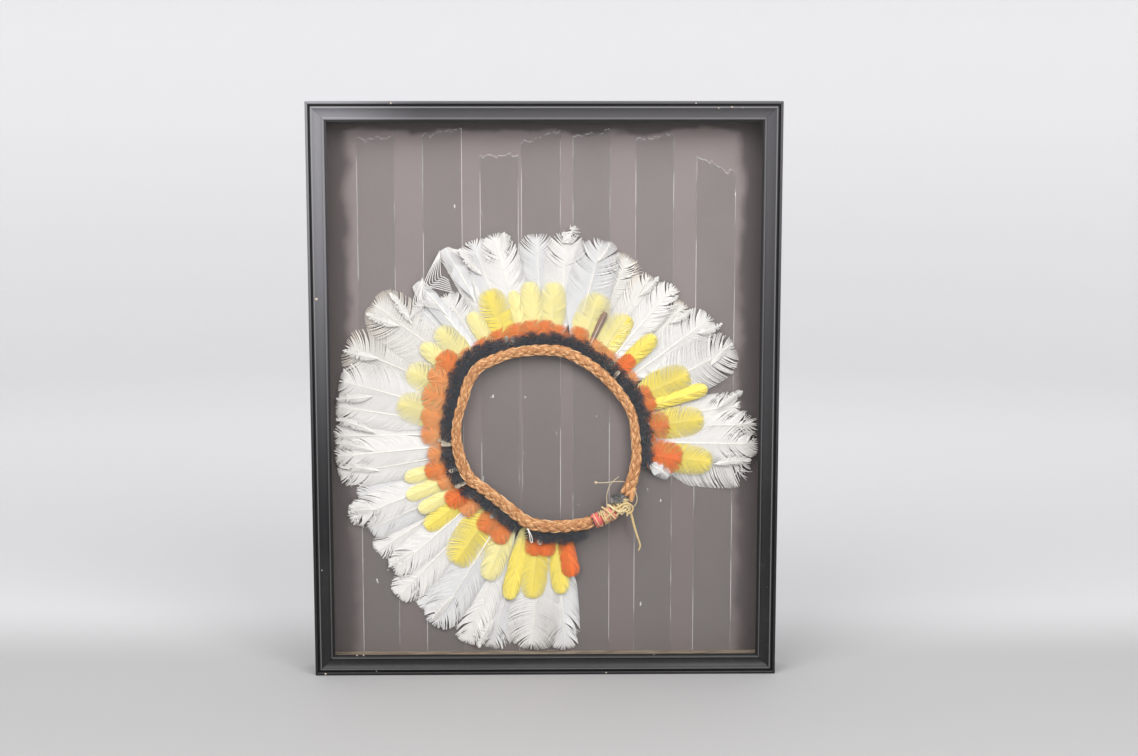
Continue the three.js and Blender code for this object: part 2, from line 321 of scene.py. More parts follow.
# ---------------------------------------------------------------- finishes
class Shader(Tree):
    """A material's tree round one Principled shader."""

    def __init__(self, name: str, roughness: float, **fixed: float) -> None:
        """Make the material.

        Args:
            name: The material's name.
            roughness: Roughness where nothing is linked to it.
            **fixed: Other sockets' constant values, with _ for a space.
        """
        self.material = bpy.data.materials.new(name)
        self.material.use_nodes = True
        super().__init__(self.material.node_tree)
        self.surface = self.group.nodes["Principled BSDF"]
        self.surface.inputs["Roughness"].default_value = roughness
        for label, value in fixed.items():
            self.surface.inputs[label.replace("_", " ")].default_value = value
        self.place = self.node("ShaderNodeTexCoord").outputs["Object"]

    def link(self, label: str, value: object) -> None:
        """Feed one of the shader's sockets."""
        self.group.links.new(value, self.surface.inputs[label])

    def grain(self, scale: float, stretch: Point = (1, 1, 1), detail: float = 4.0) -> Socket:
        """Return noise in object space, stretched along the axes."""
        mapped = self.out("ShaderNodeMapping", {"Vector": self.place, "Scale": stretch})
        return self.node(
            "ShaderNodeTexNoise", {"Vector": mapped, "Scale": scale, "Detail": detail}
        ).outputs["Fac"]

    def number(self, name: str) -> Socket:
        """Return a number kept on the mesh under a name."""
        return self.node("ShaderNodeAttribute", attribute_name=name).outputs["Fac"]

    def ramp(self, factor: object, low: float, high: float) -> Socket:
        """Return 0 below low, 1 above high and a smooth step between."""
        return self.out(
            "ShaderNodeMapRange", {"Value": factor, "From Min": low, "From Max": high},
            interpolation_type="SMOOTHSTEP",
        )

    def rise(self, factor: object, band: Pair) -> Socket:
        """Return 0 before a band of millimetres, 1 after it and a smooth step between."""
        return self.ramp(factor, band[0] * MM, band[1] * MM)

    def mix(self, factor: object, first: object, second: object) -> Socket:
        """Return a blend of two colours."""
        links = {0: factor}
        for key, value in ((6, first), (7, second)):
            links[key] = value if isinstance(value, Socket) else (*value, 1.0)
        return self.node("ShaderNodeMix", links, data_type="RGBA").outputs[2]

    def tinted(self, colour: object, tone: object, where: object, strength: float) -> Socket:
        """Return a colour with a tone mixed in where a mask says, at a strength."""
        return self.mix(self.times(where, strength), colour, tone)

    def bump(self, height: object, strength: float, distance: float) -> None:
        """Add relief to the shader's normal."""
        links = {"Height": height, "Strength": strength, "Distance": distance}
        self.link("Normal", self.out("ShaderNodeBump", links))


def darker(colour: Colour, share: float) -> Colour:
    """Return a colour at a share of its brightness."""
    return tuple(share * c for c in colour)


@dataclass(frozen=True)
class VaneFinish:
    """Colours of a feather's vane: at its root, over its body, at its edge, and streaks."""

    root: Colour
    body: Colour
    edge: Colour
    streak: Colour
    streaks: float = 0.35
    shaft: Colour = (0.90, 0.86, 0.78)
    barb_contrast: float = 0.16

    def build(self, name: str) -> tuple[Material, Material]:
        """Make the materials; the vane's reads "along", "reach" and "shade" on the mesh.

        Args:
            name: What both names start with.

        Returns:
            The vane's material and its shaft's.
        """
        vane = Shader(
            name + "_vane", 0.72, Sheen_Weight=0.25, Sheen_Roughness=0.4, Specular_IOR_Level=0.25
        )
        along, reach = vane.number("along"), vane.number("reach")
        colour = vane.mix(vane.ramp(along, 0.0, 0.3), self.root, self.body)
        outer = vane.times(vane.ramp(along, 0.45, 1.0), vane.ramp(reach, 0.25, 1.0))
        colour = vane.mix(outer, colour, self.edge)
        patches = vane.ramp(vane.grain(140.0, detail=3.0), 0.45, 0.7)
        colour = vane.tinted(colour, self.streak, patches, self.streaks)
        barb = vane.ramp(vane.math("FRACT", vane.number("shade")), 0.0, 1.0)
        vane.link("Base Color", vane.tinted(colour, self.streak, barb, self.barb_contrast))
        shaft = Shader(name + "_shaft", 0.45)
        spots = shaft.ramp(shaft.grain(260.0), 0.4, 0.65)
        shaft.link("Base Color", shaft.mix(spots, self.shaft, darker(self.shaft, 0.82)))
        return vane.material, shaft.material


class Tone(Enum):
    """How each kind of feather is coloured."""

    WARM = VaneFinish(
        (0.83, 0.812, 0.78), (0.855, 0.835, 0.805), (0.85, 0.825, 0.785), (0.77, 0.75, 0.725), 0.3
    )
    COOL = VaneFinish(
        (0.77, 0.765, 0.755), (0.77, 0.765, 0.76), (0.82, 0.80, 0.77), (0.69, 0.685, 0.68), 0.3
    )
    TAN = VaneFinish(
        (0.82, 0.80, 0.76), (0.83, 0.805, 0.765), (0.81, 0.73, 0.62), (0.76, 0.72, 0.66), 0.25
    )
    VIVID = VaneFinish(
        (0.90, 0.82, 0.40), (0.94, 0.78, 0.15), (0.93, 0.81, 0.26), (0.90, 0.70, 0.09), 0.2,
        (0.88, 0.75, 0.3),
    )
    PALE = VaneFinish(
        (0.92, 0.87, 0.60), (0.93, 0.83, 0.34), (0.93, 0.85, 0.45), (0.93, 0.87, 0.52), 0.3,
        (0.90, 0.82, 0.5),
    )
    ORANGE = VaneFinish(
        (0.66, 0.36, 0.12), (0.78, 0.20, 0.045), (0.76, 0.15, 0.03), (0.80, 0.33, 0.10), 0.45,
        (0.62, 0.3, 0.1),
    )
    RED = VaneFinish(
        (0.70, 0.26, 0.06), (0.84, 0.17, 0.03), (0.84, 0.14, 0.02), (0.80, 0.24, 0.05), 0.4,
        (0.7, 0.24, 0.06),
    )
    FADED = VaneFinish(
        (0.66, 0.42, 0.18), (0.80, 0.29, 0.09), (0.80, 0.24, 0.06), (0.78, 0.42, 0.18), 0.55,
        (0.7, 0.42, 0.2),
    )
    BLACK = VaneFinish(
        (0.020, 0.022, 0.027), (0.028, 0.032, 0.042), (0.045, 0.055, 0.075), (0.016, 0.016, 0.018), 0.6,
        (0.05, 0.045, 0.04),
    )
    WISP = VaneFinish(
        (0.50, 0.42, 0.30), (0.62, 0.54, 0.42), (0.70, 0.64, 0.52), (0.30, 0.24, 0.18), 0.5,
        (0.5, 0.4, 0.28),
    )
    BROWN = VaneFinish((0.40, 0.26, 0.16), (0.30, 0.19, 0.13), (0.34, 0.22, 0.15), (0.22, 0.14, 0.10))


class Plumage:
    """The tree that grows feathers, and each tone's pair of materials, made once."""

    def __init__(self) -> None:
        """Build the tree and start with no materials made."""
        self.tree = VaneTree()
        self.made: dict[Tone, tuple[Material, Material]] = {}

    def finishes(self, tone: Tone) -> tuple[Material, Material]:
        """Return a tone's vane and shaft materials."""
        if tone not in self.made:
            self.made[tone] = tone.value.build(tone.name.lower())
        return self.made[tone]


@dataclass(frozen=True)
class PaintedRimLine:
    """A groove's painted shade or a lip's painted highlight along the front of the rails, by its distance
    from the outer edge.
    """

    start: float
    end: float
    strength: float
    colour: Colour


@dataclass(frozen=True)
class FramePaint:
    """Black satin paint over wood, chipped to the pale wood at a few edges, with painted sheen, rim shade and
    highlights.
    """

    paint: Colour = (0.009, 0.009, 0.010)
    worn: Colour = (0.036, 0.035, 0.035)
    # Colour of the painted sheen that lightens the rails towards the top.
    top_sheen: Colour = (0.085, 0.082, 0.088)
    # Colour of the painted sheen on the upper left rail.
    sheen: Colour = (0.26, 0.255, 0.27)
    wood: Colour = (0.62, 0.52, 0.40)
    half_width: float = 250.0
    height: float = 618.0
    front_face: float = -10.0
    top_sheen_heights: Pair = (120.0, 620.0)
    sheen_heights: Pair = (200.0, 620.0)
    sheen_leftward: Pair = (120.0, 236.0)
    line_fade: float = 0.4
    # Dark lines are painted shade in the grooves; pale lines are painted highlights on the lips.
    rim_shade_and_highlights: tuple[PaintedRimLine, ...] = (
        PaintedRimLine(3.0, 5.3, 0.92, (0.004, 0.004, 0.004)), PaintedRimLine(5.8, 6.9, 0.35, (0.30, 0.29, 0.29)),
        PaintedRimLine(19.6, 21.4, 0.8, (0.010, 0.010, 0.010)), PaintedRimLine(17.6, 18.6, 0.22, (0.26, 0.25, 0.24)),
    )
    chips: tuple[tuple[float, float, float], ...] = (  # X, Z and size
        (-160.0, 616.0, 1.4), (158.0, 616.0, 1.2), (182.0, 611.0, 1.0), (196.0, 612.0, 1.2),
        (207.0, 611.5, 0.9), (-241.5, 411.0, 2.0), (228.0, 553.0, 1.0), (226.0, 307.0, 1.1),
        (-241.0, 117.0, 1.0), (-239.0, 1.8, 1.6), (-205.0, 21.0, 1.1), (-198.0, 21.0, 1.1),
        (66.0, 2.0, 1.2), (-184.0, 4.0, 0.8), (118.0, 20.5, 0.7), (240.0, 96.0, 0.8),
    )

    def build(self) -> Material:
        """Return the material for the four rails."""
        coat = Shader("frame_paint", 0.38, Specular_IOR_Level=0.32, Coat_Weight=0.06, Coat_Roughness=0.3)
        split = coat.node("ShaderNodeSeparateXYZ", {0: coat.place}).outputs
        colour = coat.tinted(self.paint, self.worn, coat.ramp(coat.grain(9.0), 0.42, 0.66), 0.25)
        scuff = coat.ramp(coat.grain(120.0, detail=6.0), 0.58, 0.72)
        colour = coat.tinted(colour, self.worn, scuff, 0.3)
        # Painted sheen: the rails are painted lighter towards the top.
        colour = coat.tinted(colour, self.top_sheen, coat.rise(split["Z"], self.top_sheen_heights), 0.8)
        # Painted sheen on the upper part of the left rail.
        left = coat.rise(coat.times(split["X"], -1.0), self.sheen_leftward)
        left = coat.times(left, coat.rise(split["Z"], self.sheen_heights))
        colour = self.with_rim_shade_and_highlights(coat, split, coat.tinted(colour, self.sheen, left, 0.7))
        chipped = self.chipped(coat)
        coat.link("Base Color", coat.mix(chipped, colour, self.wood))
        dull = coat.chain(coat.grain(30.0), ("MULTIPLY", 0.22), ("ADD", 0.30))
        coat.link("Roughness", coat.math("MAXIMUM", dull, coat.times(chipped, 0.9)))
        coat.bump(coat.grain(260.0, detail=5.0), 0.12, 0.0006)
        return coat.material

    def chipped(self, coat: Shader) -> Socket:
        """Return 1 where the paint is chipped off, with ragged edges, and 0 elsewhere."""
        ragged = coat.times(coat.grain(900.0, detail=2.0), 1.5 * MM)
        flat_place = coat.vector("MULTIPLY", coat.place, (1, 0, 1))
        mask: object = 0.0
        for x, z, size in self.chips:
            links = {0: flat_place, 1: (x * MM, 0, z * MM)}
            gap = coat.node("ShaderNodeVectorMath", links, operation="DISTANCE").outputs["Value"]
            inside = coat.chain(gap, ("ADD", ragged), ("LESS_THAN", (0.6 * size + 0.75) * MM))
            mask = coat.math("MAXIMUM", mask, inside)
        return mask

    def with_rim_shade_and_highlights(self, coat: Shader, split: object, colour: object) -> Socket:
        """Paint shade into the grooves and highlights onto the lips that follow the outer edge.

        Args:
            coat: The paint's shader.
            split: The place's X, Y and Z.
            colour: The colour so far.

        Returns:
            The colour with the lines.
        """
        front = coat.math("LESS_THAN", split["Y"], self.front_face * MM)
        inward = coat.minus(self.half_width * MM, coat.math("ABSOLUTE", split["X"]))
        inward = coat.math("MINIMUM", inward, split["Z"])
        inward = coat.math("MINIMUM", inward, coat.minus(self.height * MM, split["Z"]))
        for line in self.rim_shade_and_highlights:
            band = coat.times(coat.math("LESS_THAN", inward, line.end * MM), front)
            band = coat.times(band, coat.rise(inward, (line.start - self.line_fade, line.start)))
            colour = coat.tinted(colour, line.colour, band, line.strength)
        return colour


@dataclass(frozen=True)
class BackingPaper:
    """Matte warm grey paper, with the frame's shadow painted darker along its sides and top, and painted
    lighter higher up.
    """

    lit: Colour = (0.236, 0.203, 0.197)
    # Painted shade: the darker colour of the lower board, also used for the mottling.
    low: Colour = (0.172, 0.147, 0.142)
    shade: Colour = (0.100, 0.085, 0.083)
    fibre: Colour = (0.33, 0.30, 0.29)
    lit_heights: Pair = (120.0, 480.0)
    side_shade: Pair = (27.0, 11.0)  # in from the sight edge, where it starts and is full
    top_shade: Pair = (15.0, 8.0)
    mid_depth: float = 12.0  # halfway through the board

    def build(self, half_width: float, top: float) -> Material:
        """Return the board's material.

        Args:
            half_width: From the middle to the sight edge.
            top: Height of the upper sight edge.

        Returns:
            The material.
        """
        paper = Shader("backing_paper", 0.92, Specular_IOR_Level=0.2)
        split = paper.node("ShaderNodeSeparateXYZ", {0: paper.place}).outputs
        # Painted light and shade: the paper is lighter higher up and darker lower down.
        colour = paper.mix(paper.rise(split["Z"], self.lit_heights), self.low, self.lit)
        mottle = paper.ramp(paper.grain(14.0, detail=5.0), 0.35, 0.7)
        colour = paper.tinted(colour, self.low, mottle, 0.18)
        speck = paper.ramp(paper.grain(420.0, (1, 1, 0.5), 2.0), 0.6, 0.75)
        colour = paper.tinted(colour, self.fibre, speck, 0.10)
        # Painted shadow of the frame along the board's sides and top, with a noisy edge.
        shade_edge_noise = paper.chain(paper.grain(26.0), ("SUBTRACT", 0.5), ("MULTIPLY", 0.03))
        across = paper.plus(paper.math("ABSOLUTE", split["X"]), shade_edge_noise)
        sides = paper.rise(across, tuple(half_width - inset for inset in self.side_shade))
        upper = paper.rise(paper.plus(split["Z"], shade_edge_noise), tuple(top - inset for inset in self.top_shade))
        front = paper.math("LESS_THAN", split["Y"], self.mid_depth * MM)
        shaded = paper.times(paper.math("MAXIMUM", sides, upper), front)
        paper.link("Base Color", paper.mix(shaded, colour, self.shade))
        return paper.material


@dataclass(frozen=True)
class ClearTape:
    """Old clear tape with a painted highlight along its long edges, a paler torn top and dust flecks on it.
    """

    film: Colour = (0.32, 0.325, 0.305)
    edge: Colour = (0.66, 0.63, 0.62)
    fleck: Colour = (0.80, 0.78, 0.76)

    def build(self) -> Material:
        """Return the tape's material."""
        tape = Shader("clear_tape", 0.45, Specular_IOR_Level=0.3)
        across = tape.number("across")
        # The long edges get a painted highlight; the torn top is paler.
        rough_edge = tape.chain(tape.grain(120.0), ("MULTIPLY", 0.02), ("ADD", across))
        rim = tape.ramp(rough_edge, 0.975, 0.988)
        torn = tape.ramp(tape.number("torn"), 0.1, 0.8)
        torn = tape.times(torn, tape.ramp(tape.grain(420.0), 0.36, 0.5))
        broken = tape.ramp(tape.grain(55.0, (1, 1, 0.25)), 0.38, 0.6)
        rim = tape.math("MAXIMUM", tape.times(rim, broken), torn)
        dust = tape.ramp(tape.grain(260.0, (1, 1, 0.3), 2.0), 0.74, 0.78)
        colour = tape.mix(rim, self.film, self.edge)
        tape.link("Base Color", tape.mix(dust, colour, self.fleck))
        cover = tape.chain(rim, ("MULTIPLY", 0.7), ("ADD", 0.05))
        cover = tape.math("MAXIMUM", cover, tape.times(dust, 0.75))
        tape.link("Alpha", cover)
        return tape.material


@dataclass(frozen=True)
class ClearGlass:
    """A clean pane: almost nothing but a faint veil and its gloss."""

    tint: Colour = (0.34, 0.355, 0.355)
    cover: float = 0.010

    def build(self) -> Material:
        """Return the glass material."""
        pane = Shader("glass", 0.04, Specular_IOR_Level=0.5)
        haze = pane.ramp(pane.grain(5.0), 0.3, 0.8)
        pane.link("Base Color", pane.mix(haze, self.tint, darker(self.tint, 0.9)))
        pane.link("Alpha", pane.chain(haze, ("MULTIPLY", 0.006), ("ADD", self.cover)))
        return pane.material


@dataclass(frozen=True)
class FibreFinish:
    """Plant fibre or cloth: strands that differ in colour, with flecks and a fine relief."""

    name: str
    dark: Colour
    mid: Colour
    light: Colour
    fleck: Colour = (0.16, 0.07, 0.03)
    flecks: float = 0.6
    roughness: float = 0.62

    def build(self) -> Material:
        """Return the material; it reads the number "shade" on the mesh."""
        fibre = Shader(self.name, self.roughness, Specular_IOR_Level=0.35, Sheen_Weight=0.15)
        shade = fibre.number("shade")
        drift = fibre.chain(fibre.grain(70.0), ("MULTIPLY", 0.9), ("ADD", -0.45), ("ADD", shade))
        colour = fibre.mix(fibre.ramp(drift, 0.0, 0.5), self.dark, self.mid)
        colour = fibre.mix(fibre.ramp(drift, 0.5, 1.0), colour, self.light)
        spots = fibre.ramp(fibre.grain(330.0, detail=2.0), 0.62, 0.70)
        fibre.link("Base Color", fibre.tinted(colour, self.fleck, spots, self.flecks))
        fibre.bump(fibre.grain(900.0, detail=3.0), 0.3, 0.0004)
        return fibre.material


PALM = FibreFinish("palm_fibre", (0.38, 0.16, 0.055), (0.60, 0.29, 0.11), (0.80, 0.53, 0.29))
RAFFIA = FibreFinish("raffia", (0.42, 0.28, 0.11), (0.64, 0.47, 0.22), (0.78, 0.64, 0.36), flecks=0.25)
STRING = FibreFinish("string", (0.40, 0.30, 0.17), (0.56, 0.45, 0.28), (0.66, 0.56, 0.38), flecks=0.2)
CLOTH = FibreFinish("red_cloth", (0.42, 0.06, 0.07), (0.64, 0.13, 0.11), (0.74, 0.26, 0.22), flecks=0.2)
SCRAP = FibreFinish("grey_scrap", (0.028, 0.026, 0.024), (0.06, 0.056, 0.052), (0.5, 0.48, 0.46), flecks=0.5)


@dataclass(frozen=True)
class RawWood:
    """Unfinished pale wood with its grain along the strip."""

    pale: Colour = (0.25, 0.20, 0.15)
    dark: Colour = (0.13, 0.10, 0.075)

    def build(self) -> Material:
        """Return the material for the spacers."""
        wood = Shader("raw_wood", 0.8, Specular_IOR_Level=0.2)
        grain = wood.ramp(wood.grain(240.0, (0.2, 1, 0.2), 5.0), 0.35, 0.7)
        wood.link("Base Color", wood.mix(grain, self.pale, self.dark))
        wood.bump(grain, 0.3, 0.0003)
        return wood.material


# ---------------------------------------------------------------- headband geometry
def smooth_route(
    points: list[tuple[float, ...]], step: float, closed: bool = False
) -> list[tuple[float, ...]]:
    """Return points at even steps along a smooth curve through the given ones.

    Args:
        points: Positions; any numbers after the place are carried along.
        step: Distance between the points returned.
        closed: Whether the route joins up with its start.

    Returns:
        The finer route.
    """
    count = len(points)
    fine: list[tuple[float, ...]] = []
    for i in range(count if closed else count - 1):
        picks = [i - 1, i, i + 1, i + 2]
        picks = [p % count for p in picks] if closed else [min(max(p, 0), count - 1) for p in picks]
        corners = list(zip(*(points[p] for p in picks)))
        fine += [tuple(spline_between(*c, k / FINE_STEPS) for c in corners) for k in range(FINE_STEPS)]
    if not closed:
        fine.append(tuple(points[-1]))
    evenly = [fine[0]]
    walked, target = 0.0, step
    for before, after in zip(fine, fine[1:]):
        span = math.dist(before[:3], after[:3])
        while span > 0 and walked + span >= target:
            part = (target - walked) / span
            evenly.append(tuple(p + part * (q - p) for p, q in zip(before, after)))
            target += step
        walked += span
    if not closed and math.dist(evenly[-1][:3], fine[-1][:3]) > 0.3 * step:
        evenly.append(fine[-1])
    return evenly


FINE_STEPS = 12


def spline_between(p: float, q: float, r: float, s: float, t: float) -> float:
    """Return the value a share t of the way from q to r, with p before them and s after."""
    square = (2 * p - 5 * q + 4 * r - s) * t * t
    return 0.5 * (2 * q + (r - p) * t + square + (3 * q - p - 3 * r + s) * t ** 3)


@dataclass(frozen=True)
class Ring:
    """The route of the headband: where it lies, how thick it is, and what it radiates from."""

    centre: Pair = (1.0, 256.0)
    depth: float = -1.5
    band: tuple[tuple[float, float, float], ...] = (  # X, Z and radius
        (86.5, 196, 6.6), (92, 205, 7), (96.5, 220, 6.6), (99, 240, 6), (97.5, 260, 5.6), (95, 280, 5.4),
        (87, 297, 5.8), (75, 313, 6.2), (60, 328.5, 6.4), (40, 342.5, 6.6), (20, 352, 6.6), (0, 353.7, 6.4),
        (-20, 352.7, 6.2), (-40, 349.5, 6.2), (-60, 341, 6.4), (-71, 335, 6.4), (-82, 320, 6.2),
        (-88, 300, 5.8), (-94, 280, 5.4), (-96, 260, 6), (-93, 240, 6.6), (-88, 225, 7), (-80, 212, 7),
        (-60, 197, 6.8), (-40, 181, 7), (-20, 165.5, 7.2), (0, 160.6, 7.3), (20, 160.3, 7.3),
        (38, 162.2, 7.2), (51, 165.4, 7),
    )
    binding: tuple[tuple[float, float, float], ...] = (
        (53, 166, 7.4), (58, 167.6, 7.6), (63, 169.8, 7.6), (67.5, 172.3, 7.2),
    )
    tie: tuple[tuple[float, float, float], ...] = (
        (69.3, 173.4, 7.4), (74, 176.4, 8), (79, 180, 7.4), (83, 184.4, 6), (85.2, 188.3, 5),
    )
    clearance: float = 0.6

    @cached_property
    def stations(self) -> list[Pair]:
        """Return angle and outer radius of the whole ring at even steps."""
        around = smooth_route(list(self.band + self.binding + self.tie), 2.0, True)
        found = []
        for x, z, radius in around:
            dx, dz = x - self.centre[0], z - self.centre[1]
            found.append((math.degrees(math.atan2(dx, dz)) % 360, math.hypot(dx, dz) + radius))
        return found

    def root_radius(self, degrees: float) -> float:
        """Return the radius where a feather can start at an angle."""
        nearest = min(self.stations, key=lambda s: abs((s[0] - degrees + 180) % 360 - 180))
        return nearest[1] + self.clearance

    def point(self, degrees: float, radius: float, depth: float) -> Vector:
        """Return the place at an angle, radius and depth."""
        angle = math.radians(degrees)
        return Vector((
            self.centre[0] + radius * math.sin(angle), depth, self.centre[1] + radius * math.cos(angle)
        ))

    def outward(self, degrees: float, radius: float, depth: float, lean: float = 0.0) -> Matrix:
        """Return the place of a feather: X outward, Z to the viewer, millimetres to metres.

        Args:
            degrees: Where its root is.
            radius: Its root's radius.
            depth: Its root's depth.
            lean: Degrees that it leans clockwise from straight outward.

        Returns:
            The matrix to put into the feather's mesh.
        """
        angle = math.radians(degrees + lean)
        x_axis = Vector((math.sin(angle), 0, math.cos(angle)))
        turn = Matrix((x_axis, TO_VIEWER.cross(x_axis), TO_VIEWER)).transposed().to_4x4()
        root = self.point(degrees, radius, depth)
        return Matrix.Scale(MM, 4) @ Matrix.Translation(root) @ turn


RING = Ring()


# ---------------------------------------------------------------- feathers
class VaneTree(GeometryTree):
    """Grows a feather on a shaft line: barbs from the shaft out to the vane's outline.

    Barbs end on an outline that widens from the root, runs straight and closes in a round tip.
    Towards the tip they gather in clumps, which leaves the slits of a worn vane.
    """

    SIZES: dict[str, float | int] = {
        "Barb Spacing": 1.0, "Barb Breadth": 0.55, "Vane Length": 120.0, "Width Left": 14.0,
        "Width Right": 14.0, "Round Length": 22.0, "Round Start": 0.7, "Base Width": 0.45,
        "Widening": 0.4, "Tip Power": 0.9, "First Barb": 12.0, "Bow": 0.07, "Camber": 0.06, "Curl": 0.0,
        "Clump": 8.0, "Pull": 0.25, "Fray": 0.3, "Fray Start": 0.5, "Stray": 0.03, "Shaft Radius": 0.75,
        "Seed": 1,
    }
    BARB_POINTS = 5
    SHAFT_POINTS = 14

    def __init__(self) -> None:
        """Build the tree."""
        super().__init__("feather_vane", self.SIZES, ("Vane", "Shaft"))
        line = self.out("GeometryNodeMeshToCurve", {0: self.size("Geometry")})
        gathered = self.node("GeometryNodeJoinGeometry")
        for part in (self.barbs(line, 1.0), self.barbs(line, -1.0), self.shaft(line)):
            self.group.links.new(part, gathered.inputs[0])
        on_shaft = self.math("GREATER_THAN", self.kept("on_shaft"), 0.5)
        self.finish(gathered.outputs[0], "Vane", Shaft=on_shaft)

    def outline(self, along: object, side: float) -> tuple[object, object]:
        """Return how far out and how far aside the barbs end.

        Args:
            along: How far along the shaft a barb starts, from 0 to 1.
            side: 1 for the left of the shaft, -1 for the right.

        Returns:
            The distance from the root and the distance from the shaft.
        """
        length, turn_at = self.size("Vane Length"), self.size("Round Start")
        straight = self.chain(along, ("DIVIDE", turn_at), ("MINIMUM", 1.0))
        rounding = self.math("DIVIDE", self.minus(along, turn_at), self.minus(1.0, turn_at))
        angle = self.chain(rounding, ("MAXIMUM", 0.0), ("MULTIPLY", math.pi / 2))
        first, last = self.size("First Barb"), self.minus(length, self.size("Round Length"))
        out = self.plus(first, self.times(straight, self.minus(last, first)))
        out = self.plus(out, self.times(self.math("SINE", angle), self.size("Round Length")))
        wide = self.chain(straight, ("DIVIDE", self.size("Widening")), ("MINIMUM", 1.0), ("POWER", 0.7))
        base = self.size("Base Width")
        wide = self.plus(base, self.times(wide, self.minus(1.0, base)))
        aside = self.chain(self.math("COSINE", angle), ("MAXIMUM", 0.0), ("POWER", self.size("Tip Power")))
        half = self.size("Width Left" if side > 0 else "Width Right")
        return out, self.times(self.times(aside, wide), half)

    def barbs(self, line: Socket, side: float) -> Socket:
        """Grow one side's barbs.

        Args:
            line: The shaft's curve.
            side: 1 for the left of the shaft, -1 for the right.

        Returns:
            The barbs' mesh.
        """
        spline = self.node("GeometryNodeSplineParameter")
        along, number = spline.outputs["Factor"], spline.outputs["Index"]
        draw = int(10 + 5 * side)
        wander = self.chain(number, ("MULTIPLY", 0.21), ("ADD", self.size("Seed")), ("SINE", 0.0))
        place = self.chain(
            number, ("DIVIDE", self.size("Clump")), ("ADD", self.times(wander, 1.1)), ("ADD", side * 0.4)
        )
        clump = self.math("FLOOR", place)
        within = self.chain(place, ("FRACT", 0.0), ("SUBTRACT", 0.5))
        luck, own = self.chance(clump, draw), self.chance(number, draw + 3)
        worn = self.out(
            "ShaderNodeMapRange",
            {"Value": along, "From Min": self.size("Fray Start"), "From Max": 1.0, "To Min": 0.04},
            interpolation_type="SMOOTHSTEP",
        )

        out, aside = self.outline(along, side)
        ahead = self.minus(out, spline.outputs["Length"])
        pull = self.chain(luck, ("POWER", 3.0), ("MULTIPLY", 2.2), ("ADD", 0.12), ("MULTIPLY", within))
        shift = self.chain(self.chance(clump, draw + 5), ("SUBTRACT", 0.5), ("MULTIPLY", 0.6))
        turned = self.chain(pull, ("ADD", shift), ("MULTIPLY", worn), ("MULTIPLY", self.size("Pull")))
        stray = self.chain(own, ("SUBTRACT", 0.5), ("MULTIPLY", self.size("Stray")))
        straight = self.math("ARCTAN2", aside, ahead)
        angle = self.chain(turned, ("MULTIPLY", 0.25), ("ADD", straight), ("ADD", stray))

        reach = self.math("SQRT", self.plus(self.times(ahead, ahead), self.times(aside, aside)))
        torn = self.chain(luck, ("POWER", 3.0), ("MULTIPLY", 0.55))
        uneven = self.chain(own, ("POWER", 2.0), ("MULTIPLY", 0.35), ("ADD", torn), ("MULTIPLY", worn))
        length = self.times(reach, self.minus(1.0, self.times(uneven, self.size("Fray"))))

        points = self.evenly(line, self.size("Barb Spacing"))
        kept = {"along": along, "length": length, "shade": own, "lift": luck, "turned": turned}
        for name, value in kept.items():
            points = self.store(points, name, value)
        turn = self.barb_turn(angle, side)
        size = self.out("ShaderNodeCombineXYZ", {axis: length for axis in range(3)})
        unit = self.out("GeometryNodeCurvePrimitiveLine", {"Start": (0, 0, 0), "End": (1, 0, 0)})
        unit = self.out("GeometryNodeResampleCurve", {"Curve": unit, "Count": self.BARB_POINTS})
        links = {"Points": points, "Instance": unit, "Rotation": turn, "Scale": size}
        made = self.out("GeometryNodeInstanceOnPoints", links)
        return self.bent_barbs(self.out("GeometryNodeRealizeInstances", {"Geometry": made}), side)

    def barb_turn(self, angle: object, side: float) -> Socket:
        """Return the turn of a barb that leaves the shaft at an angle, leaning back by the camber."""
        tangent = self.out("GeometryNodeInputTangent")
        sideways = self.scaled(self.vector("CROSS_PRODUCT", (0, 0, 1), tangent), side)
        ahead = self.scaled(tangent, self.math("COSINE", angle))
        heading = self.vector("ADD", ahead, self.scaled(sideways, self.math("SINE", angle)))
        heading = self.vector("ADD", heading, self.scaled((0, 0, -1), self.size("Camber")))
        links = {0: heading, 1: (0, 0, 1)}
        return self.out("FunctionNodeAxesToRotation", links, primary_axis="X", secondary_axis="Z")

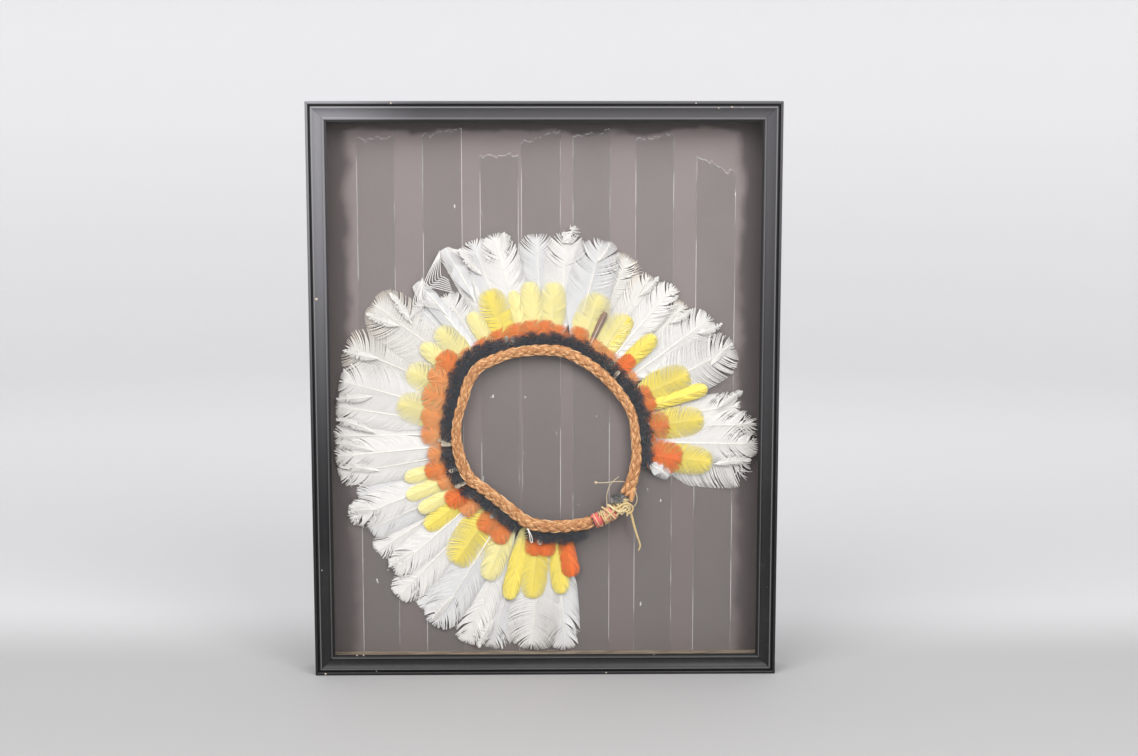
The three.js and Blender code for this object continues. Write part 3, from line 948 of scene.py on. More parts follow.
    def bent_barbs(self, curves: Socket, side: float) -> Socket:
        """Bend straight barbs towards the tip, taper them and give them a body.

        Args:
            curves: One side's barbs, as straight curves.
            side: 1 for the left of the shaft, -1 for the right.

        Returns:
            The barbs' mesh.
        """
        reach = self.node("GeometryNodeSplineParameter").outputs["Factor"]
        heading = self.out("GeometryNodeInputTangent")
        back = self.scaled(self.vector("CROSS_PRODUCT", (0, 0, 1), heading), side)
        arch = self.chain(reach, ("MULTIPLY", self.minus(1.0, reach)), ("MULTIPLY", 4.0))
        bow = self.chain(arch, ("MULTIPLY", self.size("Bow")), ("MULTIPLY", self.kept("length")))
        curl = self.times(self.math("POWER", reach, 2.0), self.math("POWER", self.kept("along"), 2.0))
        curl = self.chain(curl, ("MULTIPLY", self.size("Curl")), ("MULTIPLY", self.kept("length")))
        lift = self.plus(self.times(self.kept("lift"), 0.2), self.times(self.kept("shade"), 0.08))
        raised = self.out("ShaderNodeCombineXYZ", {"Z": self.plus(curl, lift)})
        parting = self.times(self.math("POWER", reach, 2.2), self.kept("turned"))
        parting = self.times(parting, self.kept("length"))
        offset = self.vector("ADD", self.scaled(back, self.plus(bow, parting)), raised)
        curves = self.store(self.moved(curves, offset), "reach", reach)
        taper = self.chain(self.math("POWER", reach, 3.0), ("MULTIPLY", -0.5), ("ADD", 1.0))
        curves = self.out("GeometryNodeSetCurveNormal", {"Curve": curves}, mode="Z_UP")
        return self.swept(curves, self.flat_profile(3, 0.22), self.times(taper, self.size("Barb Breadth")))

    def shaft(self, line: Socket) -> Socket:
        """Return the tapering shaft."""
        line = self.out("GeometryNodeResampleCurve", {"Curve": line, "Count": self.SHAFT_POINTS})
        along = self.node("GeometryNodeSplineParameter").outputs["Factor"]
        taper = self.chain(along, ("MULTIPLY", -0.8), ("ADD", 1.0), ("MULTIPLY", self.size("Shaft Radius")))
        line = self.store(line, "on_shaft", 1.0)
        line = self.out("GeometryNodeSetCurveNormal", {"Curve": line}, mode="Z_UP")
        return self.swept(self.moved(line, (0, 0, 0.35)), self.flat_profile(6, 0.7), taper)


@dataclass(frozen=True)
class Feather:
    """One feather: where its width starts and ends, its tip's radius, and what sets it apart.

    Its root lies on the headband unless a root radius is given.
    """

    start: float
    end: float
    tip: float
    tone: Tone
    fray: float = 0.25
    sweep: float = 0.0
    lean: float = 0.0
    curl: float = 0.0
    pull: float = 0.55
    balance: float = 0.5
    root: float = 0.0

    @property
    def middle(self) -> float:
        """Return the angle of its middle."""
        return (self.start + self.end) / 2

    def half_width(self) -> float:
        """Return half its width where it is widest."""
        return 0.86 * self.tip * math.sin(math.radians((self.end - self.start) / 2))


@dataclass(frozen=True)
class FeatherStyle:
    """What the feathers of one row share."""

    slot: str
    spacing: float
    breadth: float
    roundness: float  # the round tip's length over the half width
    base_width: float
    widening: float
    shaft: float
    widen: float = 1.25
    round_start: float = 0.7
    tip_power: float = 0.9  # the lower, the squarer the tip
    fray_start: float = 0.45
    clump: float = 7.0
    bow: float = 0.07
    camber: float = 0.05
    stray: float = 0.03
    sunk: float = 0.0

    def grow(
        self, name: str, feather: Feather, depth: float, seed: int, plumage: Plumage
    ) -> Piece:
        """Grow one feather in its place.

        Args:
            name: The object's name.
            feather: The feather.
            depth: Depth of its shaft.
            seed: Seed for its irregularities.
            plumage: The tree that grows it and its materials.

        Returns:
            The finished object.
        """
        root = feather.root or RING.root_radius(feather.middle) - self.sunk
        half = self.widen * feather.half_width()
        total = feather.tip - root
        rounded = min(self.roundness * half, 0.5 * total)
        length = total - min(0.25 * half, 0.1 * total)
        lift = 0.1 * feather.curl * length
        parts = [i / SHAFT_STEPS for i in range(SHAFT_STEPS + 1)]
        shaft_line = [(part * length, feather.sweep * part ** 2, lift * part ** 3) for part in parts]
        vane, shaft = plumage.finishes(feather.tone)
        inputs = {
            "Barb Spacing": self.spacing, "Barb Breadth": self.breadth, "Vane Length": total,
            "Width Left": half * 2 * feather.balance, "Width Right": half * 2 * (1 - feather.balance),
            "Round Length": rounded, "Round Start": self.round_start, "Base Width": self.base_width,
            "Widening": self.widening, "Tip Power": self.tip_power,
            "First Barb": min(0.7 * half, 0.2 * total), "Bow": self.bow, "Camber": self.camber,
            "Curl": feather.curl, "Clump": self.clump, "Pull": 1.3 * feather.pull * feather.fray,
            "Fray": 0.7 * feather.fray, "Fray Start": self.fray_start, "Stray": self.stray,
            "Shaft Radius": self.shaft, "Seed": seed, "Vane": vane, "Shaft": shaft,
        }
        place = RING.outward(feather.middle, root, depth, feather.lean)
        piece = grown(name, line_mesh(name, shaft_line), plumage.tree, inputs, place)
        fitted(piece, self.slot)
        return piece


SHAFT_STEPS = 12
WHITE_STYLE = FeatherStyle(
    "white_feather", 0.95, 0.56, 1.1, 0.24, 0.5, 1.0, widen=1.5, tip_power=0.62, fray_start=0.55, clump=4.5,
    stray=0.025,
)
YELLOW_STYLE = FeatherStyle(
    "yellow_feather", 1.0, 0.56, 1.5, 0.6, 0.6, 0.4, widen=1.12, round_start=0.58, tip_power=0.7,
    fray_start=0.7, camber=0.07, clump=3.0, stray=0.07,
)
ORANGE_STYLE = FeatherStyle(
    "orange_feather", 0.75, 0.52, 0.8, 0.8, 0.5, 0.25, widen=1.35, round_start=0.5, tip_power=0.7,
    fray_start=0.2, camber=0.04, clump=2.5, stray=0.13,
)
DOWN_STYLE = FeatherStyle(
    "black_feather", 0.8, 0.42, 0.8, 0.7, 0.5, 0.3, widen=1.3, round_start=0.45, fray_start=0.0, clump=3.0,
    camber=-0.12, stray=0.3, sunk=2.5,
)

FeatherRow = tuple[float | Tone, ...]  # start, end, tip, tone, fray, sweep, lean, curl, pull, balance
W, C, T = Tone.WARM, Tone.COOL, Tone.TAN
V, P = Tone.VIVID, Tone.PALE
O, R, F = Tone.ORANGE, Tone.RED, Tone.FADED


@dataclass
class WhiteFeathers:
    """The long outer feathers, one piece each, staggered in depth."""

    depths: tuple[float, ...] = (9.0, 7.6, 6.2)
    seed: int = 12
    feathers: tuple[FeatherRow, ...] = (
        (353, 362, 222, C, 0.2), (2, 11, 224, W, 0.5, 3), (11, 21, 224, C, 0.3, 2),
        (21, 30, 218, T, 0.6, 2), (30, 37, 210, T, 0.7), (36, 43, 216, W, 0.5, -2), (43, 50, 210, T, 0.6),
        (49, 58, 222, W, 0.3, 3), (59, 70, 227, W, 0.3, 4), (76, 83, 214, W, 0.8, -3),
        (81, 89, 229, W, 0.9, -4, 0, 0.1, 0.6, 0.4), (88, 96, 230, W, 0.6, 3, 0, 0.1, 0.6),
        (95, 104, 225, W, 0.8, 5, 0, 0.1, 0.7, 0.35), (171, 178, 238, C, 0.6, -3),
        (178, 189, 237, W, 0.25, -5, 0, 0, 0.3), (189, 197, 243, C, 0.4, -3), (198, 205, 246, W, 0.4, -3),
        (205, 213, 243, C, 0.35, -3), (213, 219, 235, C, 0.3, -2), (218, 225, 241, W, 0.4, -3),
        (225, 232, 223, W, 0.5, -2), (232, 239, 225, W, 0.5, -2), (238, 244, 218, C, 0.4, -2),
        (244, 251, 232, W, 0.6, -4), (250, 257, 215, C, 0.4), (256, 263, 229, W, 0.5, 2),
        (262, 269, 230, W, 0.5, 2), (268, 276, 230, W, 0.6, 2), (275, 282, 230, W, 0.4, 3),
        (281, 291, 232, W, 0.3, 4), (291, 303, 239, T, 0.25, 4, 0, 0, 0.35),
        (304, 315, 239, T, 0.3, 4, 0, 0, 0.35), (320, 323.5, 219, C, 0.15, 2),
        (331.5, 335, 233, W, 0.2, 3), (336, 344, 229, C, 0.4, 2), (343, 351, 229, W, 0.4, 2),
    )

    def build(self, plumage: Plumage) -> None:
        """Grow every white feather in place of its plate."""
        luck = random.Random(self.seed)
        for i, row in enumerate(self.feathers):
            feather = replace(Feather(*row), lean=luck.uniform(-2.0, 2.0))
            name = f"white_feather_{i + 1:02d}"
            depth = self.depths[i % len(self.depths)]
            piece = WHITE_STYLE.grow(name + "_vane", feather, depth, 11 * i + 3, plumage)
            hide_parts(name)
        log.info("white feathers: %d", len(self.feathers))


@dataclass
class LooseFeathers:
    """Feathers that belong to no row: a brown sliver, a tuft, folds, worn tips, barbs and a thread."""

    thread: tuple[Point, ...] = (
        (-19, -2.4, 158.5), (-17.4, -3.6, 155.5), (-15, -4.2, 150), (-13.9, -4.2, 145), (-14.8, -4.2, 142.4),
        (-16.3, -4.2, 145.5), (-17, -4.1, 151), (-18.6, -3.4, 156), (-20, -2.4, 158),
    )
    thread_radius: float = 0.45
    worn_tips: tuple[tuple[float, ...], ...] = (  # angle, tip, root, lean, fray
        (16, 224, 205, 35, 0.8), (33, 214, 190, 20, 0.9), (47, 212, 190, 18, 0.9), (55, 228, 205, 24, 0.9),
        (66, 229, 200, -35, 0.8), (80, 222, 195, -40, 1.0), (99, 226, 190, -22, 0.9),
        (196, 246, 215, 18, 0.7), (210, 238, 208, 20, 0.8), (229, 224, 195, 15, 0.9),
        (247, 232, 205, 28, 0.9), (259, 228, 190, 24, 1.0), (266, 229, 192, 22, 1.0),
        (272, 230, 190, 25, 1.0), (284, 232, 198, -25, 0.8), (296, 240, 205, -18, 0.8),
        (308, 238, 205, -25, 0.9), (311, 232, 196, 20, 0.9), (339, 228, 196, -30, 1.0),
        (346, 230, 200, 28, 0.8),
    )
    worn_span: float = 1.3
    worn_depths: Pair = (5.6, 6.3)

    def build(self, plumage: Plumage) -> None:
        """Grow them at their own depths.

        Args:
            plumage: The feathers' tree and materials.
        """
        narrow = replace(
            WHITE_STYLE, widen=1.1, fray_start=0.0, stray=0.3, base_width=0.15, tip_power=0.9, roundness=2.2,
            shaft=0.5,
        )
        smooth = replace(WHITE_STYLE, widen=1.0, base_width=0.1, widening=0.8, roundness=2.8)
        folded = replace(WHITE_STYLE, widen=1.3)
        brown, tuft = replace(YELLOW_STYLE, widen=1.0), replace(smooth, base_width=0.5)
        extras = [
            ("brown_sliver", brown, Feather(23.6, 26.4, 152, Tone.BROWN, 0.05), 3.9),
            ("white_tuft", tuft, Feather(100, 108, 142, C, 0.3, -4, lean=9, root=114), 3.2),
            ("hooked_tip", narrow, Feather(2.4, 7.2, 236, W, 1.0, 6, 48, 0.2, 1.2, root=213), 5.6),
            ("fold_a", smooth, Feather(319.5, 324, 219, C, 0.05, 3, root=172), 5.4),
            ("fold_b", smooth, Feather(330.5, 336, 233, C, 0.05, 4, root=168), 5.0),
            ("fold_c", folded, Feather(320, 330, 192, W, 0.6), 7.4),
            ("fold_d", folded, Feather(331, 339, 196, W, 0.6), 8.2),
            ("fold_e", folded, Feather(312, 321, 200, C, 0.8), 8.4),
        ]
        for i, (degrees, tip, root, lean, fray) in enumerate(self.worn_tips):
            span = (degrees - self.worn_span, degrees + self.worn_span)
            wisp = Feather(*span, tip, W, fray, 0.2 * lean, lean, 0.2, 0.9, root=root - 5)
            extras.append((f"worn_tip_{i + 1}", narrow, wisp, self.worn_depths[i % 2]))
        for seed, (name, style, feather, depth) in enumerate(extras, 90):
            style.grow(name, feather, depth, seed, plumage)
        vane, shaft = plumage.finishes(W)
        thread = smooth_route(list(self.thread), 1.2)
        fitted(tube("thread_loop", shaft, thread, self.thread_radius, 6), "white_feather")
        for i, loops in enumerate(STRAND_LOOPS):
            loops.build(f"strand_loops_{i + 1}", vane)
        log.info("loose feathers: %d", len(extras))


@dataclass
class ShortRow:
    """A row of short feathers, each a piece of its own, that stand for a run's solid.

    Angles above 360 carry on from the ones before them.
    """

    name: str
    style: FeatherStyle
    depth: float
    feathers: tuple[FeatherRow, ...]
    lower_run: Pair = (150.0, 197.0)
    layer: float = 0.25

    def build(self, plumage: Plumage) -> None:
        """Grow the row; neighbours differ a little in depth."""
        for i, row in enumerate(self.feathers):
            feather = Feather(*row)
            run = "lower" if self.lower_run[0] < feather.middle < self.lower_run[1] else "main"
            depth = self.depth + self.layer * (i % 3 - 1)
            name = f"{self.name}_feather_{i + 1:02d}"
            piece = self.style.grow(name, feather, depth, 17 * i + 5, plumage)
            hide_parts(f"{self.name}_row_{run}")
        log.info("%s feathers: %d", self.name, len(self.feathers))


YELLOW_ROW = ShortRow("yellow", YELLOW_STYLE, 4.8, (
    (171, 178, 174, V, 0.2), (180, 190, 179, V, 0.1), (190, 196, 184, V, 0.1), (198, 207, 170, P, 0.15),
    (209, 224, 172, V, 0.06, 2), (229, 237, 165, V, 0.2), (237, 243, 160, P, 0.2),
    (244, 250, 165, P, 0.2), (251, 257, 160, P, 0.3), (277, 290, 166, P, 0.15), (291, 303, 168, P, 0.15),
    (304, 311, 169, P, 0.2), (311, 321, 168, P, 0.15), (326, 333, 160, P, 0.2), (333, 345, 174, V, 0.1),
    (345, 350, 165, P, 0.2), (350, 358, 172, P, 0.15), (358, 368, 171, P, 0.1), (374, 387, 169, P, 0.15),
    (387, 398, 160, P, 0.2), (390, 398, 161, V, 0.2), (403, 410, 163, V, 0.15), (419, 432, 171, V, 0.1),
    (430, 435, 183, V, 0.1), (437, 449, 173, V, 0.15), (453, 464, 183, V, 0.1),
))

ORANGE_ROW = ShortRow("orange", ORANGE_STYLE, 3.3, (
    (166.5, 172.5, 156, R), (176, 184, 131, R), (182, 190, 131, R), (201, 209, 128, O),
    (209, 219, 125, O), (224, 232, 124, F), (232, 241, 130, R), (243, 250, 128, F), (250, 258, 137, O),
    (258, 266, 130, F), (268, 277, 136, F), (277, 286, 138, F), (286, 297, 143, F), (297, 304, 146, F),
    (304, 313, 148, O), (313, 321, 133, F), (321, 331, 131, O), (331, 341, 131, O), (340, 350, 131, O),
    (348, 358, 131, O), (356, 364, 130, O), (362, 371, 126, O), (373, 382, 128, O), (382, 394, 122, F),
    (392, 403, 120, F), (403, 410, 130, R), (410, 418, 121, F), (421, 429, 125, O), (427, 435, 126, O),
    (437, 450, 135, O), (453, 465, 150, R),
))


@dataclass
class BlackDown:
    """Short black down round the band's outside, in two layers, with a few pale wisps."""

    depths: Pair = (0.8, -1.2)
    main: Pair = (197.0, 467.0)
    lower: Pair = (157.5, 191.0)
    step: float = 5.2
    height: float = 12.5
    bulge: tuple[float, float, float] = (312.0, 26.0, 3.6)  # middle, half span and extra height
    wisp_share: float = 0.09
    seed: int = 41

    def tip_radius(self, degrees: float, luck: random.Random) -> float:
        """Return how far the down reaches at an angle."""
        middle, half_span, extra = self.bulge
        off = abs((degrees - middle + 180) % 360 - 180) / half_span
        swell = extra * max(0.0, 1 - off * off)
        return RING.root_radius(degrees % 360) + self.height + swell + luck.uniform(-2.0, 2.5)

    def build(self, plumage: Plumage) -> None:
        """Grow both runs of down, each joined into one piece.

        Args:
            plumage: The feathers' tree and materials.
        """
        luck = random.Random(self.seed)
        for run, (first, last) in (("main", self.main), ("lower", self.lower)):
            tufts = []
            for layer, depth in enumerate(self.depths):
                degrees = first + self.step * 0.5 * layer + 2
                while degrees < last:
                    reach = self.tip_radius(degrees, luck) - 2.0 * layer
                    tone = Tone.WISP if luck.random() < self.wisp_share else Tone.BLACK
                    wide = luck.uniform(1.4, 2.2) if tone is Tone.WISP else luck.uniform(6.5, 9.0)
                    tuft = Feather(
                        degrees - wide / 2, degrees + wide / 2, reach, tone, 0.5,
                        lean=luck.uniform(-14, 14), curl=luck.uniform(-0.1, 0.25), pull=0.5,
                    )
                    name = f"down_{run}_{layer}_{len(tufts)}"
                    tufts.append(DOWN_STYLE.grow(name, tuft, depth, luck.randrange(9999), plumage))
                    degrees += self.step * luck.uniform(0.75, 1.25)
            count = len(tufts)
            fitted(joined(f"black_down_{run}", tufts), "black_feather", f"black_row_{run}")
            log.info("black down, %s run: %d tufts", run, count)


# ---------------------------------------------------------------- headband and tie
class StrandTree(GeometryTree):
    """Plaits strands along a line: each swings from side to side and dips under the others."""

    SIZES: dict[str, float | int] = {
        "Turns": 30.0, "Swing": 0.66, "Dip": 0.16, "Fibre Radius": 0.105, "Step": 1.4, "Ragged": 0.1,
        "Seed": 3,
    }
    STRANDS = 5
    FIBRES = 6

    def __init__(self) -> None:
        """Build the tree; the line's points carry the band's radius as "girth"."""
        super().__init__("plaited_strands", self.SIZES, ("Fibre",))
        line = self.out("GeometryNodeMeshToCurve", {0: self.size("Geometry")})
        line = self.evenly(line, self.size("Step"))
        gathered = self.node("GeometryNodeJoinGeometry")
        for strand in range(self.STRANDS):
            for fibre in range(self.FIBRES):
                self.group.links.new(self.fibre(line, strand, fibre), gathered.inputs[0])
        self.finish(gathered.outputs[0], "Fibre")

    def fibre(self, line: Socket, strand: int, fibre: int) -> Socket:
        """Return one fibre of one strand as a closed tube.

        Args:
            line: The band's middle line.
            strand: The strand's number.
            fibre: The fibre's number in its strand.

        Returns:
            The fibre's mesh, which carries its tint as "shade".
        """
        spline = self.node("GeometryNodeSplineParameter")
        turns = self.times(self.size("Turns"), math.tau)
        phase = math.tau * strand / self.STRANDS
        angle = self.chain(spline.outputs["Factor"], ("MULTIPLY", turns), ("ADD", phase))
        place = (fibre - (self.FIBRES - 1) / 2) / self.FIBRES
        girth, swing = self.kept("girth"), self.times(self.math("SINE", angle), self.size("Swing"))
        sideways = self.chain(swing, ("ADD", place * 0.52), ("MULTIPLY", girth))
        slant = self.chain(self.math("COSINE", angle), ("MULTIPLY", place * -0.6), ("MULTIPLY", girth))
        weave = self.chain(
            angle, ("MULTIPLY", self.STRANDS - 1.0), ("SINE", 0.0), ("MULTIPLY", self.size("Dip"))
        )
        dome = self.chain(self.math("SINE", angle), ("POWER", 2.0), ("MULTIPLY", -0.3), ("ADD", 0.3))
        luck = self.chance(spline.outputs["Index"], strand * 7 + fibre)
        wobble = self.chain(luck, ("SUBTRACT", 0.5), ("MULTIPLY", self.size("Ragged")))
        front = self.chain(weave, ("ADD", dome), ("ADD", wobble), ("MULTIPLY", girth))
        tangent = self.out("GeometryNodeInputTangent")
        across = self.vector("CROSS_PRODUCT", (0, 1, 0), tangent)
        offset = self.vector("ADD", self.scaled(across, sideways), self.scaled((0, -1, 0), front))
        offset = self.vector("ADD", offset, self.scaled(tangent, slant))
        tint = (strand * 5 + fibre * 3) % 7 / 7
        moved = self.store(self.moved(line, offset), "shade", tint)
        return self.swept(moved, self.flat_profile(5, 0.8), self.times(self.size("Fibre Radius"), girth))


def tube(
    name: str, finish: Material, route: list[tuple[float, ...]], radii: float | list[float],
    sides: int, flat: float = 1.0, shade: float = 0.5, fronts: list[Vector] | None = None,
) -> Piece:
    """Return a closed tube.

    Args:
        name: Its name.
        finish: Its material.
        route: X, Y and Z of its middle line, in millimetres.
        radii: Its radius, or its radius at each point.
        sides: Corners round its section.
        flat: Thickness from front to back as a share of its width.
        shade: The number kept for its finish.
        fronts: Which way its flat side faces at each point; towards the viewer if left out.

    Returns:
        The finished object.
    """
    middles = [Vector(p[:3]) for p in route]
    radii = radii if isinstance(radii, list) else [radii] * len(route)
    verts: list[Vector] = []
    for i, middle in enumerate(middles):
        front = fronts[i] if fronts else TO_VIEWER
        ahead = (middles[min(i + 1, len(middles) - 1)] - middles[max(i - 1, 0)]).normalized()
        side = ahead.cross(front)
        side = side.normalized() if side.length > 1e-3 else Vector((1, 0, 0))
        up = side.cross(ahead).normalized()
        for k in range(sides):
            angle = math.tau * k / sides
            verts.append(middle + radii[i] * (math.cos(angle) * side + flat * math.sin(angle) * up))
    faces = [list(range(sides))[::-1], [len(verts) - sides + k for k in range(sides)]]
    for i in range(len(middles) - 1):
        for k in range(sides):
            a, b = i * sides + k, i * sides + (k + 1) % sides
            faces.append([a, b, b + sides, a + sides])
    mesh = bpy.data.meshes.new(name)
    mesh.from_pydata([v * MM for v in verts], [], faces)
    number_on(mesh, "shade", [shade] * len(verts))
    face_outward(mesh)
    return placed(name, mesh, finish)


def route_length(route: list[tuple[float, ...]]) -> float:
    """Return a route's length in millimetres."""
    return sum(math.dist(a[:3], b[:3]) for a, b in zip(route, route[1:]))


@dataclass
class Headband:
    """The plaited palm-fibre ring."""

    pitch: float = 58.0
    core: float = 0.5
    end: tuple[Point, ...] = ((95.5, -1.5, 203), (94.6, -2.5, 197), (93.6, -3.2, 191.5), (93.2, -3.2, 187.5))

    def build(self, tree: StrandTree) -> None:
        """Plait the band over a dark core, with a loose end below its last strands."""
        route = smooth_route([(x, RING.depth, z, r) for x, z, r in RING.band], 1.5)
        base = line_mesh("headband", [p[:3] for p in route])
        number_on(base, "girth", [p[3] for p in route])
        finish = PALM.build()
        inputs = {"Turns": route_length(route) / self.pitch, "Fibre": finish}
        plait = grown("headband_plait", base, tree, inputs, Matrix.Scale(MM, 4))
        sparse = route[::3]
        core = tube("headband_core", finish, sparse, [self.core * p[3] for p in sparse], 10, shade=0.05)
        end = smooth_route(list(self.end), 1.0)
        widths = [3.6 - 2.2 * (i / len(end)) ** 2 for i in range(len(end))]
        stub = tube("headband_end", finish, end, widths, 10, 0.7, 0.6)
        fitted(joined("headband_plait", [plait, core, stub]), "palm_fibre", "headband")
        log.info("headband: %.0f mm long", route_length(route))


@dataclass(frozen=True)
class FreeEnd:
    """A cord: its route from where it leaves the tie, its width there, and its far end."""

    name: str
    node: str
    route: tuple[Point, ...]
    width: float
    taper: float  # share of its width lost by the far end
    far_end: str

    def build(self, finish: Material, knots: list[Piece]) -> None:
        """Args:
            finish: Its material.
            knots: Not used.
        """
        fine = smooth_route(list(self.route), CORD_STEP)
        count = len(fine) - 1
        radii = [self.width / 2 * (1 - self.taper * (i / count) ** 1.5) for i in range(count + 1)]
        piece = tube(self.name, finish, fine, radii, 8)
        fitted(piece, "raffia", self.node)


CORD_STEP = 1.2
RAFFIA_TAIL = FreeEnd("raffia_tail", "tie_tail", (
    (90.5, -2.5, 180), (92, -3.1, 177), (93.3, -3.3, 173.4), (94.4, -3.3, 169.5), (95.4, -3.1, 165.5),
    (96.4, -2.8, 161.5), (97.5, -2.5, 157.5), (98.7, -2.2, 153.6), (99.9, -1.9, 149.7), (101.2, -1.5, 145.8),
    (102.5, -1.1, 142), (103.4, -0.7, 138.6), (102.8, -0.4, 135.4), (101.4, -0.2, 132.8),
), 2.8, 0.45, "bare")
LONG_STRING = FreeEnd("string_long", "tie_string_long", (
    (85.6, -5, 210.2), (82.5, -7.5, 210.9), (79.2, -8.7, 211.2), (76, -8.7, 211.1), (72.5, -8.4, 210.8),
    (69, -8.1, 210.3), (65.5, -7.9, 209.9), (62, -7.7, 209.6), (58.4, -7.5, 209.6), (54.6, -7.5, 209.9),
), 1.0, 0.1, "knot")
SHORT_STRING = FreeEnd("string_short", "tie_string_short", (
    (67, -9.9, 185.6), (66.6, -10.3, 188.8), (66.4, -10.5, 192), (66.4, -10.7, 195.3), (66.8, -10.9, 198.6),
    (67.6, -11.1, 201.9), (68.7, -11.2, 205.1), (70.2, -11.2, 208.2), (72.3, -11.1, 211), (74.9, -11, 213.4),
    (77.6, -10.9, 215.6), (79.4, -10.8, 217.2),
), 1.0, 0.3, "bare")


def metres(place: tuple[float, ...]) -> Point:
    """Return a place in metres."""
    return tuple(c * MM for c in place)


@dataclass(frozen=True)
class Strip:
    """A strip wound round the tie: where it starts, how it strays and its section."""

    at: float
    drift: float
    lift: float
    width: float  # half of it
    flat: float
    shade: float
    turns: float = 1.08
    sides: int = 5


@dataclass
class Tie:
    """Red cloth and raffia wound round the band's end, with the free ends that hang from it."""

    loop: tuple[Point, ...] = (
        (95.6, -6.1, 201.2), (97.2, -6.3, 199.4), (98.4, -6.3, 197.2), (99.2, -6.2, 194.6),
        (99.5, -6.1, 191.8), (99.3, -5.9, 189), (98.5, -5.7, 186.3), (97.1, -5.5, 184), (95.2, -5.2, 182.4),
    )
    cloth_until: float = 76.0  # X where the cloth ends
    cloth_inset: float = 0.9
    raffia_from: float = 72.0  # X where the raffia starts
    raffia_inset: float = 2.2
    last: tuple[Point, ...] = ((86, 191, 5.0),)  # X, Z and radius past the ring's own points
    wraps: int = 22
    steps: int = 26
    seed: int = 8
    scrap: Point = (78.5, -5.0, 191.5)
    scrap_radius: float = 7.2
    cloth_strips: tuple[tuple[float, ...], ...] = (  # start, drift and lift
        (0.5, 2.5, 0.1), (3.5, 2.0, 0.3), (13, 4.0, 0.0), (17, 3.5, 0.2),
    )

    def build(self) -> None:
        """Make the windings and the free ends."""
        self.raffia = RAFFIA.build()
        route = RING.binding + RING.tie + self.last
        self.spine = smooth_route([(x, RING.depth, z, r) for x, z, r in route], SPINE_STEP)
        self.build_ends(STRING.build())
        self.build_cloth()
        self.build_scrap()
        self.build_raffia()
        log.info("tie: cloth, raffia and four ends")

    def build_ends(self, string: Material) -> None:
        """Make the raffia tail, the two strings and the small loop."""
        knot = lump("string_knot", string, LONG_STRING.route[-1], 1.5)
        fitted(knot, "raffia")
        RAFFIA_TAIL.build(self.raffia, [])
        LONG_STRING.build(string, [knot])
        SHORT_STRING.build(string, [])
        fine = smooth_route(list(self.loop), CORD_STEP)
        fitted(tube("string_loop", string, fine, LONG_STRING.width / 2, 8), "raffia", "tie_loop")

    def winding(
        self, name: str, strip: Strip, luck: random.Random, finish: Material
    ) -> Piece:
        """Wind one strip round the tie's spine.

        Args:
            name: The strip's name.
            strip: Its place and section.
            luck: Where its irregularities come from.
            finish: Its material.

        Returns:
            The strip.
        """
        start = luck.uniform(0, math.tau)
        route, fronts = [], []
        for k in range(self.steps + 1):
            part = k / self.steps
            place = (strip.at + strip.drift * math.sin(math.pi * part) + 2 * part) / SPINE_STEP
            index = min(max(place, 0), len(self.spine) - 1.01)
            here, after = self.spine[int(index)], self.spine[int(index) + 1]
            side = (Vector(after[:3]) - Vector(here[:3])).normalized().cross(TO_VIEWER).normalized()
            angle = start + math.tau * strip.turns * part
            around = math.cos(angle) * side + math.sin(angle) * TO_VIEWER
            out = here[3] + strip.lift + luck.uniform(-0.15, 0.2)
            route.append(tuple(Vector(here[:3]) + around * out))
            fronts.append(around)
        return tube(name, finish, route, strip.width, strip.sides, strip.flat, strip.shade, fronts)

    def build_cloth(self) -> None:
        """Wrap the cloth in strips that lie askew, under the raffia."""
        luck = random.Random(self.seed + 1)
        cloth = CLOTH.build()
        sleeve = [p for p in self.spine if p[0] < self.cloth_until]
        radii = [p[3] - self.cloth_inset for p in sleeve]
        strips = [tube("cloth_core", cloth, sleeve, radii, 14, shade=0.3)]
        for i, place in enumerate(self.cloth_strips):
            strip = Strip(*place, 2.3, 0.2, luck.uniform(0.35, 0.8), 1.05, 10)
            strips.append(self.winding(f"cloth_{i}", strip, luck, cloth))
        fitted(joined("red_cloth_wrap", strips), "red_cloth", "red_binding")

    def build_scrap(self) -> None:
        """Press a grey scrap in between the band's ends."""
        scrap = lump("grey_scrap", SCRAP.build(), (0, 0, 0), self.scrap_radius, 0.6, 4)
        for vertex in scrap.data.vertices:
            vertex.co *= Vector((1.0, 0.55, 0.75))
            vertex.co += Vector(self.scrap) * MM
        fitted(scrap, "red_cloth")

    def build_raffia(self) -> None:
        """Wind raffia criss-cross over the gap between the band's ends, and knot it in loops."""
        luck = random.Random(self.seed)
        core = [p for p in self.spine if p[0] > self.raffia_from]
        radii = [p[3] - self.raffia_inset for p in core]
        parts = [tube("raffia_core", self.raffia, core, radii, 12, shade=0.1)]
        reach = SPINE_STEP * len(self.spine)
        for i in range(self.wraps):
            strip = Strip(
                6 + (reach - 8) * i / self.wraps, luck.uniform(-10, 10), luck.uniform(0.1, 1.0),
                luck.uniform(0.4, 0.8), 0.5, luck.uniform(0.25, 0.95),
            )
            parts.append(self.winding(f"wrap_{i}", strip, luck, self.raffia))
        for i, loop in enumerate(KNOT_LOOPS):
            fine = smooth_route(list(loop), 0.9)
            parts.append(tube(f"knot_{i}", self.raffia, fine, 1.0, 6, 0.6, 0.5 + 0.1 * (i % 5)))
        fitted(joined("raffia_windings", parts), "raffia", "raffia_tie")


